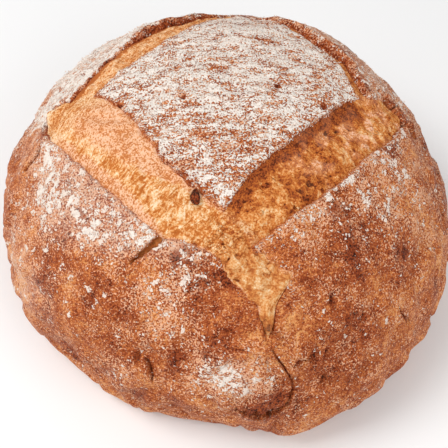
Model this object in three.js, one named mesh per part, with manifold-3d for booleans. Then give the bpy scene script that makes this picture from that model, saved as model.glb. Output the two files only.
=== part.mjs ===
// A round loaf of white sourdough, baked on a flat stone, as one solid of crust and crumb.
// Four straight cuts cross in a square on its crown. They have burst open in the oven, so that torn
// crumb swells between raised crust lips, and a few cracks have split the flank.
//
// Millimetres, +Z up. The origin is the middle of the flat base, and the loaf's front faces -Y.
// Bearings are degrees round the loaf, from +X towards +Y, so the front is at -90.
// The cuts run along two diagonals of the plan: "p" towards the front right, "q" towards the back right.
import * as THREE from "three";
import { mergeGeometries, mergeVertices } from "three/addons/utils/BufferGeometryUtils.js";
import { ImprovedNoise } from "three/addons/math/ImprovedNoise.js";
import Module from "manifold-3d";

// The smooth loaf
const loafWidth = 230;
const loafHeight = 122;
const waistHeight = 28; // where the loaf is widest
const baseWidth = 186; // flat underside
const domePower = 2.24; // 2 is an ellipse, more is flatter on top
const footPower = 2.4; // how round the turn from the flank to the base is

// Uneven hand shaping: waves round the plan, and bulges and hollows in the skin
const planWaves = [
  { lobes: 2, size: 0.8, bearing: -20 },
  { lobes: 3, size: 1.0, bearing: -60 },
  { lobes: 5, size: 0.7, bearing: 10 },
];
const bulges = [
  { name: "front blister", bearing: -87, height: 58, reach: 24, rise: 4.5 },
  { name: "front right foot", bearing: -66, height: 15, reach: 34, rise: 4.5 },
  { name: "right flank", bearing: -28, height: 32, reach: 42, rise: 3.2 },
  { name: "front dip", bearing: -98, height: 14, reach: 22, rise: -5 },
  { name: "front left tuck", bearing: -132, height: 20, reach: 26, rise: -7 },
  { name: "left tuck", bearing: -168, height: 24, reach: 26, rise: -3.5 },
  { name: "left back shoulder", bearing: 160, height: 66, reach: 45, rise: -4 },
  { name: "right back shoulder", bearing: 22, height: 62, reach: 55, rise: -3 },
  { name: "back shoulder", bearing: 88, height: 96, reach: 30, rise: -3 },
];
const dimpleSize = 0.9; // gentle unevenness of the whole skin
const dimpleSpacing = 26;

// The four cuts. Each lip is a curve through points of place along the cut and place across it,
// and the crown's grid lines that follow it start from the even places in gridLips.
const cuts = [
  {
    name: "front left",
    across: "q",
    gridLips: [-64, -40],
    outerLip: [
      [-72, -53], [-62, -61], [-48, -63], [-5, -65.5], [22, -65], [27, -63.5], [31, -60.2], [40, -56.5],
      [50, -56.2], [60, -55.2], [70, -53.4], [80, -55.5], [86, -57],
    ],
    innerLip: [
      [-72, -49], [-47, -38.5], [-12, -37.5], [14, -40.4], [30, -42], [58, -40.8], [65, -42.7], [75, -43.8],
      [80, -48], [86, -53],
    ],
    depth: 4.5,
    swell: 5,
    innerRise: 1.2,
    outerRise: 1.6,
  },
  {
    name: "front right",
    across: "p",
    gridLips: [38, 62],
    outerLip: [[-54, 56], [-40, 58.3], [-24, 60.8], [7, 63.6], [29, 61.6], [53, 61], [66, 56]],
    innerLip: [[-54, 44], [-30, 38], [-12, 36], [26, 37.8], [45, 39.5], [66, 50]],
    depth: 6,
    swell: 4.5,
    innerRise: 2.4,
    outerRise: 1,
  },
  {
    name: "back left",
    across: "p",
    gridLips: [-60, -48],
    outerLip: [[-66, -55], [-42, -58.5], [-17, -59], [0, -61], [13, -58], [29, -53.5], [58, -53]],
    innerLip: [[-66, -51], [-36, -48.5], [8, -49], [40, -48.5], [58, -50]],
    depth: 5,
    swell: 3,
    innerRise: 0.8,
    outerRise: 4,
  },
  {
    name: "back right",
    across: "q",
    gridLips: [58, 65],
    outerLip: [[-44, 64], [-25, 66], [-5, 67], [8, 66.5], [20, 63.5], [32, 57], [44, 52]],
    innerLip: [[-44, 61], [-25, 61.5], [6, 60.5], [18, 57.5], [32, 52], [44, 50]],
    depth: 6,
    swell: 1.5,
    innerRise: 0.8,
    outerRise: 3.5,
  },
];
const lipReach = 9; // how far back from its edge a lip is lifted
const lipWall = 1.4; // width of the step from a lip down to the crumb
const endFade = 10; // length over which a cut closes at its ends
const liftFade = 30; // length over which a lip sinks back towards its ends
const swellReach = 6; // how soon the crumb rises away from a lip
const followReach = 24; // how far beside a cut the grid follows its lips
const crumbCrag = 1.5; // height of the crags in the torn crumb
const cragSpacing = 8;

// Cracks in the crust, along points of bearing and height
const cracks = [
  { name: "front left tail", path: [[-109, 105], [-112, 102], [-117, 95]], width: 4, depth: 5 },
  { name: "tail bay", path: [[-76, 94], [-72, 93], [-68, 90.5]], width: 5, depth: 5 },
  { name: "left rim", path: [[-175, 97], [-172, 91], [-169, 84]], width: 2.5, depth: 4 },
  { name: "right rim", path: [[15, 102], [9, 97], [2, 87]], width: 4.5, depth: 6 },
  { name: "blister side", path: [[-80, 76], [-76, 63], [-75, 52], [-77, 39]], width: 3, depth: 5 },
  { name: "blister foot", path: [[-75, 46], [-77, 38], [-82, 34], [-88, 38]], width: 3.5, depth: 5 },
  { name: "front right fold", path: [[-75, 60], [-70, 63.5], [-65, 63]], width: 2.5, depth: 3.5 },
  { name: "front left fold", path: [[-112, 64], [-108, 61], [-106.5, 52]], width: 2.5, depth: 3.5 },
];

// The mesh: a square crown of grid lines that follow the lips, a flank of rings and a flat base
const crownHalf = 86; // from the crown's middle to the middle of each of its sides
const cornerPull = 0.12; // share by which the crown's corners are drawn in to stay on the dome
const cornerSharpness = 3; // how close to the corners that is
const borderFade = 0.2; // share of the flank over which a cut that leaves the crown dies out
const gridStep = 4.3;
const flankRings = 17;
const crackSegments = [14, 8];
const weldGap = 0.001; // corners closer than this become one

const noise = new ImprovedNoise();
const radians = THREE.MathUtils.degToRad;
const { smoothstep, clamp, lerp } = THREE.MathUtils;

// Radius of the widest line of the loaf at a bearing, given in radians
function planRadius(bearing) {
  const waves = planWaves.map((w) => w.size * Math.cos(w.lobes * (bearing - radians(w.bearing))));
  return waves.reduce((sum, wave) => sum + wave, loafWidth / 2);
}

// A point of the smooth loaf and its outward normal. Turn goes from 1 at the top, through 0 at the waist,
// to -1 where the flank meets the base.
function smoothPoint(bearing, turn) {
  const wide = planRadius(bearing);
  const angle = (turn * Math.PI) / 2;
  const [out, lift] = [Math.cos(angle), Math.abs(Math.sin(angle))];
  const above = turn >= 0;
  const power = above ? domePower : footPower;
  const inner = above ? 0 : baseWidth / 2;
  const rise = above ? loafHeight - waistHeight : -waistHeight; // of the end of this half from the waist
  const share = Math.pow(out, 2 / power);
  const height = above ? lift : Math.pow(lift, 2 / power);
  const radius = inner + (wide - inner) * share;
  const slope = new THREE.Vector2(
    Math.pow(share, power - 1) / (wide - inner),
    Math.pow(height, above ? 1 : power - 1) / rise,
  ).normalize();
  const [east, north] = [Math.cos(bearing), Math.sin(bearing)];
  const point = new THREE.Vector3(radius * east, radius * north, waistHeight + rise * height);
  const normal = new THREE.Vector3(slope.x * east, slope.x * north, slope.y);
  return { point, normal };
}

// Turn of the smooth loaf at a distance from its axis, on the dome
function turnAtRadius(bearing, radius) {
  const share = clamp(radius / planRadius(bearing), 0, 1);
  return (Math.acos(Math.pow(share, domePower / 2)) * 2) / Math.PI;
}

// Turn of the smooth loaf at a height
function turnAtHeight(height) {
  if (height >= waistHeight) {
    const share = (height - waistHeight) / (loafHeight - waistHeight);
    return (Math.asin(clamp(share, 0, 1)) * 2) / Math.PI;
  }
  const share = Math.pow((waistHeight - height) / waistHeight, footPower / 2);
  return (-Math.asin(clamp(share, 0, 1)) * 2) / Math.PI;
}

function skinPoint(bearingDegrees, height) {
  return smoothPoint(radians(bearingDegrees), turnAtHeight(height));
}

// A smooth curve through points of place along and place across, read at a place along
function readCurve(points, along) {
  const last = points.length - 2;
  const found = points.findIndex(([place], i) => i > 0 && along <= place);
  const i = found < 0 ? last : found - 1;
  const around = [i - 1, i, i + 1, i + 2].map((k) => clamp(k, 0, last + 1));
  const [before, from, to, after] = around.map((k) => points[k]);
  const span = to[0] - from[0];
  const t = clamp((along - from[0]) / span, 0, 1);
  const leaving = ((to[1] - before[1]) / (to[0] - before[0])) * span;
  const arriving = ((after[1] - from[1]) / (after[0] - from[0])) * span;
  const [t2, t3] = [t * t, t * t * t];
  return (2 * t3 - 3 * t2 + 1) * from[1] + (t3 - 2 * t2 + t) * leaving
    + (3 * t2 - 2 * t3) * to[1] + (t3 - t2) * arriving;
}

// A cut's two lips from low to high across, at a place along it
function lipsAt(cut, along) {
  return [readCurve(cut.outerLip, along), readCurve(cut.innerLip, along)].sort((a, b) => a - b);
}

// 1 inside a cut's length and 0 outside it, with a soft end of the given length
function alongCut(cut, along, fade) {
  const [first, last] = [cut.outerLip.at(0)[0], cut.outerLip.at(-1)[0]];
  return smoothstep(along, first, first + fade) * (1 - smoothstep(along, last - fade, last));
}

// How far a place of the even grid moves sideways, so that its lip lines lie on the cut's lips
function followLips(cut, along, across) {
  const lips = lipsAt(cut, along);
  const moves = lips.map((lip, i) => lip - cut.gridLips[i]);
  const share = clamp((across - cut.gridLips[0]) / (cut.gridLips[1] - cut.gridLips[0]), 0, 1);
  const beside = Math.max(cut.gridLips[0] - across, across - cut.gridLips[1]);
  return lerp(moves[0], moves[1], share) * (1 - smoothstep(beside, 0, followReach));
}

// Height of the scored relief at a place of the even grid: lifted lips, and crumb swelling between them
function scoredRelief(p, q, point) {
  let lift = 0;
  let inside = 0;
  let [depth, swell, weight] = [0, 0, 0];
  for (const cut of cuts) {
    const [along, across] = cut.across === "p" ? [q, p] : [p, q];
    const within = Math.min(across - cut.gridLips[0], cut.gridLips[1] - across);
    const open = alongCut(cut, along, endFade) * smoothstep(within, -lipWall / 2, lipWall / 2);
    depth += open * cut.depth;
    swell += open * cut.swell;
    weight += open;
    const [low, high] = lipsAt(cut, along);
    const narrowing = (high - low) / (cut.gridLips[1] - cut.gridLips[0]);
    inside = Math.max(inside, open * within * narrowing);
    const outer = Math.abs(across) > Math.abs(cut.gridLips[0] + cut.gridLips[1]) / 2;
    const rise = (outer ? cut.outerRise : cut.innerRise) * alongCut(cut, along, liftFade);
    lift = Math.max(lift, rise * Math.exp(Math.min(within, 0) / lipReach));
  }
  const rounded = 1 - Math.exp(-inside / swellReach);
  const [x, y, z] = point.toArray().map((v) => v / cragSpacing);
  const crag = crumbCrag * rounded * noise.noise(x, y, z);
  const crumb = (swell * rounded - depth) / Math.max(weight, 1) + crag;
  return lerp(lift, crumb, Math.min(weight, 1));
}

// Bulges, hollows and dimples of the skin, which fade out where the loaf stands on its base
function shapedSkin(point) {
  const grounded = smoothstep(point.z, 0, waistHeight / 2);
  const [x, y, z] = point.toArray().map((v) => v / dimpleSpacing);
  let rise = dimpleSize * noise.noise(x, y, z);
  for (const bulge of bulges) {
    const far = point.distanceTo(skinPoint(bulge.bearing, bulge.height).point) / bulge.reach;
    rise += bulge.rise * Math.exp(-far * far);
  }
  return grounded * rise;
}

// Grid lines from one side of the crown to the other: a pair at each lip, with even steps between
function gridLines(across) {
  const lips = cuts.filter((cut) => cut.across === across).flatMap((cut) => cut.gridLips);
  const fixed = [-crownHalf, crownHalf, ...lips.flatMap((lip) => [lip - lipWall / 2, lip + lipWall / 2])];
  fixed.sort((a, b) => a - b);
  const lines = [];
  for (let i = 0; i + 1 < fixed.length; i++) {
    const steps = Math.max(1, Math.round((fixed[i + 1] - fixed[i]) / gridStep));
    for (let k = 0; k < steps; k++) lines.push(lerp(fixed[i], fixed[i + 1], k / steps));
  }
  return [...lines, crownHalf];
}

// A place of the crown grid on the smooth dome, as bearing and turn
function crownPlace(p, q) {
  let [movedP, movedQ] = [p, q];
  for (const cut of cuts) {
    if (cut.across === "p") movedP += followLips(cut, q, p);
    else movedQ += followLips(cut, p, q);
  }
  const pull = 1 - cornerPull * Math.pow(Math.abs(p * q) / (crownHalf * crownHalf), cornerSharpness);
  const x = ((movedP + movedQ) * pull) / Math.SQRT2;
  const y = ((movedQ - movedP) * pull) / Math.SQRT2;
  const bearing = Math.atan2(y, x);
  return { bearing, turn: turnAtRadius(bearing, Math.hypot(x, y)) };
}

const pLines = gridLines("p");
const qLines = gridLines("q");

// The crown, a plane whose lines lie along the cuts
function crownGeometry() {
  const plane = new THREE.PlaneGeometry(1, 1, pLines.length - 1, qLines.length - 1);
  const position = plane.attributes.position;
  for (let i = 0; i < position.count; i++) {
    const p = pLines[i % pLines.length];
    const q = qLines[qLines.length - 1 - Math.floor(i / pLines.length)];
    const { bearing, turn } = crownPlace(p, q);
    const { point, normal } = smoothPoint(bearing, turn);
    const raised = shapedSkin(point) + scoredRelief(p, q, point);
    position.setXYZ(i, ...point.addScaledVector(normal, raised).toArray());
  }
  return plane;
}

// The crown's border, as places in order round the loaf
function crownBorder() {
  const front = pLines.map((p) => [p, -crownHalf]);
  const right = qLines.map((q) => [crownHalf, q]);
  const back = pLines.map((p) => [p, crownHalf]).reverse();
  const left = qLines.map((q) => [-crownHalf, q]).reverse();
  return [front, right, back, left].flatMap((side) => side.slice(0, -1));
}

// The flank, an open cylinder from the crown's border down to the base
function flankGeometry(border) {
  const cylinder = new THREE.CylinderGeometry(1, 1, 1, border.length, flankRings, true);
  const position = cylinder.attributes.position;
  for (let i = 0; i < position.count; i++) {
    const column = i % (border.length + 1);
    const down = Math.floor(i / (border.length + 1)) / flankRings;
    const [p, q] = border[column % border.length];
    const start = crownPlace(p, q);
    const { point, normal } = smoothPoint(start.bearing, lerp(start.turn, -1, down));
    const scored = scoredRelief(p, q, point) * (1 - smoothstep(down, 0, borderFade));
    position.setXYZ(i, ...point.addScaledVector(normal, shapedSkin(point) + scored).toArray());
  }
  return cylinder;
}

// The flat base, a fan from its middle to the foot of the flank
function baseGeometry(border) {
  const circle = new THREE.CircleGeometry(1, border.length);
  const position = circle.attributes.position;
  for (let i = 1; i < position.count; i++) {
    const [p, q] = border[(i - 1) % border.length];
    const { point } = smoothPoint(crownPlace(p, q).bearing, -1);
    position.setXYZ(i, ...point.toArray());
  }
  return circle;
}

// Turns a geometry's faces round
function flipped(geometry) {
  const index = geometry.index;
  for (let i = 0; i < index.count; i += 3) {
    const first = index.getX(i);
    index.setX(i, index.getX(i + 1));
    index.setX(i + 1, first);
  }
  return geometry;
}

// A lens-shaped blade that lies along a crack, half in the crust and half above it
function crackBlade(crack) {
  const places = crack.path.map(([bearing, height]) => skinPoint(bearing, height));
  const onSkin = ({ point, normal }) => point.clone().addScaledVector(normal, shapedSkin(point));
  const line = new THREE.CatmullRomCurve3(places.map(onSkin));
  const lens = new THREE.SphereGeometry(1, ...crackSegments);
  lens.rotateZ(Math.PI / 2);
  const position = lens.attributes.position;
  for (let i = 0; i < position.count; i++) {
    const along = clamp((position.getX(i) + 1) / 2, 0, 1);
    const centre = line.getPointAt(along);
    const normal = places[Math.round(along * (places.length - 1))].normal;
    const side = new THREE.Vector3().crossVectors(normal, line.getTangentAt(along)).normalize();
    centre.addScaledVector(side, (position.getY(i) * crack.width) / 2);
    centre.addScaledVector(normal, position.getZ(i) * crack.depth);
    position.setXYZ(i, ...centre.toArray());
  }
  return lens;
}

const wasm = await Module();
wasm.setup();

// A closed geometry as a solid that can be cut
function solidOf(geometry) {
  geometry.deleteAttribute("normal");
  geometry.deleteAttribute("uv");
  const merged = mergeVertices(geometry, weldGap);
  return new wasm.Manifold(new wasm.Mesh({
    numProp: 3,
    vertProperties: merged.attributes.position.array,
    triVerts: new Uint32Array(merged.index.array),
  }));
}

function geometryOf(solid) {
  const mesh = solid.getMesh();
  const geometry = new THREE.BufferGeometry();
  geometry.setAttribute("position", new THREE.BufferAttribute(mesh.vertProperties, mesh.numProp));
  geometry.setIndex(new THREE.BufferAttribute(mesh.triVerts, 1));
  geometry.computeVertexNormals();
  return geometry;
}

function loafGeometry() {
  const border = crownBorder();
  const skin = mergeGeometries([crownGeometry(), flankGeometry(border), flipped(baseGeometry(border))]);
  const whole = solidOf(skin);
  return geometryOf(cracks.reduce((solid, crack) => solid.subtract(solidOf(crackBlade(crack))), whole));
}

const crust = new THREE.MeshStandardMaterial({ color: 0xb0683a, roughness: 0.8, metalness: 0 });
const loaf = new THREE.Mesh(loafGeometry(), crust);
loaf.name = "loaf";

const bread = new THREE.Group();
bread.add(loaf);

export default bread;
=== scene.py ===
import math

import bpy
import numpy as np
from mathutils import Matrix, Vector, noise


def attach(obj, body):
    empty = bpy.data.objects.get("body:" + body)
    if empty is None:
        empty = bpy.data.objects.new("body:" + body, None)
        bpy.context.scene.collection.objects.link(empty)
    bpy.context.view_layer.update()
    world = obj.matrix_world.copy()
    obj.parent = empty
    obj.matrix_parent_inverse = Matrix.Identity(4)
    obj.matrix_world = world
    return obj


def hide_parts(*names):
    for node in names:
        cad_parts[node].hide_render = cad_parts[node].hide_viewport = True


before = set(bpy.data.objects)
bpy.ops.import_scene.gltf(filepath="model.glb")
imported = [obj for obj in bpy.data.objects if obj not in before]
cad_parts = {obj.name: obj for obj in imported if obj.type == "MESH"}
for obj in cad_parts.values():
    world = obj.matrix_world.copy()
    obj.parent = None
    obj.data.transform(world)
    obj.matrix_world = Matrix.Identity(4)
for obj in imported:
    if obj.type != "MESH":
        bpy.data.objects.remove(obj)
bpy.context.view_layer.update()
mm = 0.001

# Places on the loaf are millimetres and degrees, as in the solid: bearings run from +X towards +Y,
# and the cuts lie along two diagonals of the plan, p towards the front right and q towards the back right.

loafForm = {
    "width": 230,
    "height": 122,
    "waist": 28,  # height of the widest line
    "baseWidth": 186,
    "domePower": 2.24,  # 2 is an ellipse, more is flatter on top
    "footPower": 2.4,
    "waves": [(2, 0.8, -20), (3, 1.0, -60), (5, 0.7, 10)],  # lobes, size, bearing
    "bulges": [  # bearing, height, reach, rise
        (-87, 58, 24, 4.5),  # front blister
        (-66, 15, 34, 4.5),  # front right foot
        (-28, 32, 42, 3.2),  # right flank
        (-98, 14, 22, -5),  # front dip
        (-132, 20, 26, -7),  # front left tuck
        (-168, 24, 26, -3.5),  # left tuck
        (160, 66, 45, -4),  # left back shoulder
        (22, 62, 55, -3),  # right back shoulder
        (88, 96, 30, -3),  # back shoulder
        (-155, 49, 12, -2.6),  # under the left flank's flap
        (-164, 66, 12, 1.2),
    ],
    "dimples": [(28, 1.2), (12, 0.9), (5, 0.42)],  # spacing and size of the skin's unevenness
    "lumps": {"spacing": 19, "size": 2.2, "gain": 3, "level": 0.6, "heights": (100, 70)},  # low on the sides
}

# Lips run through points of place along the cut and place across it, rises say how far they stand up,
# and the profile is the crumb's height over the smooth loaf from the outer lip to the inner one.
cuts = {
    "frontLeft": {
        "across": "q",
        "gridLips": (-64, -40),
        "outerLip": [(-72, -53), (-62, -61), (-48, -63), (-5, -65.5), (22, -65), (27, -63.5), (31, -60.2),
                     (40, -56.5), (50, -54.6), (56, -54), (62, -55.6), (70, -55.6), (75, -55), (79, -57),
                     (83, -59.6), (86, -61)],
        "innerLip": [(-72, -49), (-47, -37), (-29, -35.8), (-18, -37.2), (-6, -40.8), (10, -43), (24, -43),
                     (34, -42), (57, -40), (63, -42), (68, -40.5), (73, -38.4), (76.4, -36.6), (77.4, -36.4),
                     (78.9, -46.4), (80.6, -49.4), (82.6, -52.6), (84, -55.6), (86, -58)],
        "outerRise": [(-72, 1), (-62, 2.6), (-52, 2), (-40, 0.9), (0, 0.7), (40, 0.7), (58, 0.2), (86, 0.2)],
        "innerRise": [(-72, 0), (-40, 0.2), (20, 0.3), (40, 0.3), (60, 0.5), (86, 0.4)],
        "profile": [(0, -0.9), (0.12, -0.3), (0.35, 0.6), (0.6, 0.5), (0.85, -0.2), (1, -0.6)],
        "swell": [(-72, 0), (40, 0), (58, 0.5), (86, 0.7)],
        "tornEnd": (3.5, 1.8, 44),  # spacing and size of the jagged lips, from this place along
    },
    "frontRight": {
        "across": "p",
        "gridLips": (38, 62),
        "outerLip": [(-54, 56), (-40, 58.3), (-24, 60.8), (7, 63.6), (29, 62), (53, 61.5), (66, 60.5),
                     (78, 58)],
        "innerLip": [(-54, 44), (-30, 39), (-12, 37.8), (10, 37.9), (26, 37.8), (45, 37), (62, 39), (78, 45)],
        "outerRise": [(-54, 0.6), (-30, 1.4), (40, 1.4), (78, 0)],
        "innerRise": [(-54, 0), (-36, 0.3), (-10, 0.9), (30, 1.1), (45, 0.6), (78, 0)],
        "profile": [(0, -1.8), (0.15, -1.2), (0.35, -1), (0.55, -1.7), (0.75, -2.4), (0.9, -1.8), (1, -0.8)],
        "swell": [(-54, 0), (78, 0)],
    },
    "backLeft": {
        "across": "p",
        "gridLips": (-60, -48),
        "outerLip": [(-66, -56), (-42, -59.5), (-17, -61.5), (-4, -63), (6, -62.6), (16, -61),
                     (29, -57.6), (58, -53)],
        "innerLip": [(-66, -51), (-36, -48.2), (8, -48.6), (40, -48.2), (58, -50)],
        "outerRise": [(-66, 1), (-46, 2.4), (-36, 1), (-20, 0.5), (-6, 0.8), (3, 2.8), (12, 4.6),
                      (34, 3.6), (58, 0)],
        "innerRise": [(-66, 0), (-36, 0.2), (30, 0.2), (58, 0)],
        "profile": [(0, -0.8), (0.2, -0.4), (0.5, 0), (0.8, 0), (1, 0)],
        "swell": [(-66, 0), (58, 0)],
    },
    "backRight": {
        "across": "q",
        "gridLips": (58, 65),
        "outerLip": [(-44, 64), (-25, 66), (-5, 67), (8, 66.5), (20, 63.5), (32, 57), (44, 52)],
        "innerLip": [(-44, 61), (-25, 61.5), (6, 60.5), (18, 57.5), (32, 52), (44, 50)],
        "outerRise": [(-44, 0), (-22, 2.6), (-4, 3.8), (20, 3), (44, 0)],
        "innerRise": [(-44, 0), (-10, 0.6), (20, 0.6), (44, 0)],
        "profile": [(0, -1.8), (0.4, -1), (1, -0.2)],
        "swell": [(-44, 0), (44, 0)],
    },
}
cutShape = {
    "lipReach": 9,  # how far back from its edge a lip is lifted
    "lipWall": 1.4,  # width of the step down from a lip, on the even grid
    "endFade": 10,  # length over which a cut closes at its ends
    "followReach": 24,  # how far beside a cut the grid follows its lips
    "trench": 7,  # floor of the cut below the smooth loaf, hidden under the crumb
    "overhang": 0.9,  # how far a lip leans out over the crumb
    "undercut": 0.6,  # share of it that the foot of the lip goes back
    "ragged": [(9, 0.9), (3, 0.45)],  # spacing and size of the lips' unevenness
    "lipApart": 40.0,  # keeps the two lips of a cut unlike
    "tornFade": 8,  # length over which a torn end begins
}
crown = {"half": 86, "cornerPull": 0.12, "cornerSharpness": 3, "borderFade": 0.2}

# Small helpers

def smooth(value, low, high):
    share = np.clip((value - low) / (high - low), 0, 1)
    return share * share * (3 - 2 * share)


def mix(first, second, share):
    return first + (second - first) * share


def noisePlaces(places, spacing, seed):  # in units of the spacing, and moved apart for each seed
    apart = np.array((7.31, 3.77, 5.13))
    return (Vector(place) for place in places / spacing + seed * apart)


def field(places, spacing, seed, octaves=2):  # smooth noise about 0, one value for each place
    return np.array([noise.fractal(place, 1.0, 2.0, octaves) for place in noisePlaces(places, spacing, seed)])


def uneven(places, look, seed, octaves=2):  # the same, from a pair of spacing and size
    spacing, size = look
    return size * field(places, spacing, seed, octaves)


def cells(places, spacing, seed, crease=0.11):  # rounded lumps and the creases between them, from 0 to 1
    found = np.array([noise.voronoi(place)[0][:2] for place in noisePlaces(places, spacing, seed)])
    return 1 - found[:, 0], 1 - smooth(found[:, 1] - found[:, 0], 0, crease)


def stepped(value, slow=0.86):  # a slow rise and a steep fall over each unit, from -0.5 to 0.5
    share = value - np.floor(value)
    return np.where(share < slow, share / slow, (1 - share) / (1 - slow)) - 0.5


def readCurve(points, along):  # a smooth curve through the points, read at each place along
    places, values = np.array(points, float).T
    slopes = np.gradient(values, places)
    slopes[1:-1] = (values[2:] - values[:-2]) / (places[2:] - places[:-2])
    along = np.clip(along, places[0], places[-1])
    i = np.clip(np.searchsorted(places, along, side="right") - 1, 0, len(places) - 2)
    span = places[i + 1] - places[i]
    t = (along - places[i]) / span
    ends = (2 * t**3 - 3 * t**2 + 1) * values[i] + (3 * t**2 - 2 * t**3) * values[i + 1]
    return ends + span * ((t**3 - 2 * t**2 + t) * slopes[i] + (t**3 - t**2) * slopes[i + 1])


# The smooth loaf

def planRadius(bearing):
    waves = [size * np.cos(lobes * (bearing - math.radians(at))) for lobes, size, at in loafForm["waves"]]
    return loafForm["width"] / 2 + sum(waves)


def smoothPoint(bearing, turn):  # turn is 1 at the top, 0 at the waist and -1 at the rim of the base
    wide = planRadius(bearing)
    angle = turn * math.pi / 2
    above = turn >= 0
    power = np.where(above, loafForm["domePower"], loafForm["footPower"])
    inner = np.where(above, 0, loafForm["baseWidth"] / 2)
    rise = np.where(above, loafForm["height"] - loafForm["waist"], -loafForm["waist"])
    share = np.maximum(np.cos(angle), 0) ** (2 / power)
    lift = np.abs(np.sin(angle))
    height = np.where(above, lift, lift ** (2 / power))
    radius = inner + (wide - inner) * share
    slopeOut = share ** (power - 1) / (wide - inner)
    slopeUp = height ** np.where(above, 1, power - 1) / rise
    size = np.hypot(slopeOut, slopeUp)
    east, north = np.cos(bearing), np.sin(bearing)
    points = np.stack([radius * east, radius * north, loafForm["waist"] + rise * height], -1)
    normals = np.stack([slopeOut * east / size, slopeOut * north / size, slopeUp / size], -1)
    return points, normals


def turnAtRadius(bearing, radius):
    share = np.clip(radius / planRadius(bearing), 0, 1)
    return np.arccos(share ** (loafForm["domePower"] / 2)) * 2 / math.pi


def turnAtHeight(height):
    height = np.asarray(height, float)
    up = np.clip((height - loafForm["waist"]) / (loafForm["height"] - loafForm["waist"]), 0, 1)
    down = np.clip((loafForm["waist"] - height) / loafForm["waist"], 0, 1) ** (loafForm["footPower"] / 2)
    return np.where(height >= loafForm["waist"], np.arcsin(up), -np.arcsin(down)) * 2 / math.pi


def skinPoint(bearing, height):  # a place on the smooth loaf from degrees and millimetres
    return smoothPoint(np.radians(np.asarray(bearing, float)), turnAtHeight(height))


def patches(points, listed):  # sum of soft patches on the skin, each with bearing, height, reach and amount
    total = np.zeros(len(points))
    for bearing, height, reach, amount in listed:
        far = np.linalg.norm(points - skinPoint(bearing, height)[0], axis=1) / reach
        total += amount * np.exp(-far * far)
    return total


def shapedSkin(points):  # bulges, hollows and dimples, which die out at the base
    rise = sum(uneven(points, look, 1 + k) for k, look in enumerate(loafForm["dimples"]))
    lumps = loafForm["lumps"]
    swollen = np.minimum(lumps["gain"] * np.abs(field(points, lumps["spacing"], 9)), 1) - lumps["level"]
    rise = rise + lumps["size"] * swollen * smooth(points[:, 2], *lumps["heights"])
    rise = rise + patches(points, loafForm["bulges"])
    return rise * smooth(points[:, 2], 0, loafForm["waist"] / 2)


# The four cuts

def placeIn(cut, p, q):  # place along a cut and across it
    return (q, p) if cut["across"] == "p" else (p, q)


def lipsAt(cut, along):  # the two lips, low and high across
    lips = np.sort([readCurve(cut["outerLip"], along), readCurve(cut["innerLip"], along)], axis=0)
    for side in range(2):
        line = np.stack([along, np.full_like(along, cutShape["lipApart"] * side), np.zeros_like(along)], -1)
        for k, look in enumerate(cutShape["ragged"]):
            lips[side] += uneven(line, look, cut["gridLips"][0] + 3 * k)
        if "tornEnd" in cut:
            spacing, size, start = cut["tornEnd"]
            jag = size * smooth(along, start, start + cutShape["tornFade"])
            lips[side] += jag * field(line, spacing, 15, 3)
    return lips


def alongCut(cut, along, fade):  # 1 inside the cut's length, 0 outside it
    first, last = cut["outerLip"][0][0], cut["outerLip"][-1][0]
    return smooth(along, first, first + fade) * (1 - smooth(along, last - fade, last))


def withinCut(cut, across):  # how far inside the cut's two grid lips
    low, high = cut["gridLips"]
    return np.minimum(across - low, high - across)


def besideCuts(p, q):  # distances out past each cut's outer grid lip, and in past its inner one
    past, within = {}, {}
    for name, cut in cuts.items():
        across = placeIn(cut, p, q)[1]
        inner, outer = sorted(np.abs(cut["gridLips"]))
        outwards = across * np.sign(sum(cut["gridLips"]))
        past[name] = outwards - outer
        within[name] = inner - outwards
    return past, within


def crownPlace(p, q, lean=None):  # a place of the even grid on the dome, as bearing and turn
    moved = {"p": np.array(p, float), "q": np.array(q, float)}
    for cut in cuts.values():
        along, across = placeIn(cut, p, q)
        low, high = cut["gridLips"]
        lips = lipsAt(cut, along)
        share = np.clip((across - low) / (high - low), 0, 1)
        beside = np.maximum(low - across, across - high)
        fade = 1 - smooth(beside, 0, cutShape["followReach"])
        moved[cut["across"]] += mix(lips[0] - low, lips[1] - high, share) * fade
        if lean is not None:
            wall = smooth(withinCut(cut, across), -cutShape["lipWall"] / 2, cutShape["lipWall"] / 2)
            inwards = np.where(share < 0.5, 1, -1) * alongCut(cut, along, cutShape["endFade"])
            moved[cut["across"]] += lean * inwards * (np.sin(wall * math.pi) - cutShape["undercut"] * wall)
    pull = 1 - crown["cornerPull"] * (np.abs(p * q) / crown["half"] ** 2) ** crown["cornerSharpness"]
    x = (moved["p"] + moved["q"]) * pull / math.sqrt(2)
    y = (moved["q"] - moved["p"]) * pull / math.sqrt(2)
    bearing = np.arctan2(y, x)
    return bearing, turnAtRadius(bearing, np.hypot(x, y))


def lipLift(p, q):  # how far the lips beside each cut stand up
    lift = np.zeros_like(p)
    for cut in cuts.values():
        along, across = placeIn(cut, p, q)
        low, high = cut["gridLips"]
        outer = np.abs(across) > abs(low + high) / 2
        rise = np.where(outer, readCurve(cut["outerRise"], along), readCurve(cut["innerRise"], along))
        rise = rise * alongCut(cut, along, cutShape["endFade"])
        lift = np.maximum(lift, rise * np.exp(np.minimum(withinCut(cut, across), 0) / cutShape["lipReach"]))
    return lift


def openShare(p, q):  # 0 on the crust, 1 on the floor of a cut
    half = cutShape["lipWall"] / 2
    share = np.zeros_like(p)
    for cut in cuts.values():
        along, across = placeIn(cut, p, q)
        ends = alongCut(cut, along, cutShape["endFade"])
        share = np.maximum(share, ends * smooth(withinCut(cut, across), -half, half))
    return share


# Modelling helpers

def editMode(piece):
    bpy.ops.object.select_all(action="DESELECT")
    piece.select_set(True)
    bpy.context.view_layer.objects.active = piece
    bpy.ops.object.mode_set(mode="EDIT")


def objectMode():
    bpy.ops.object.mode_set(mode="OBJECT")


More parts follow.
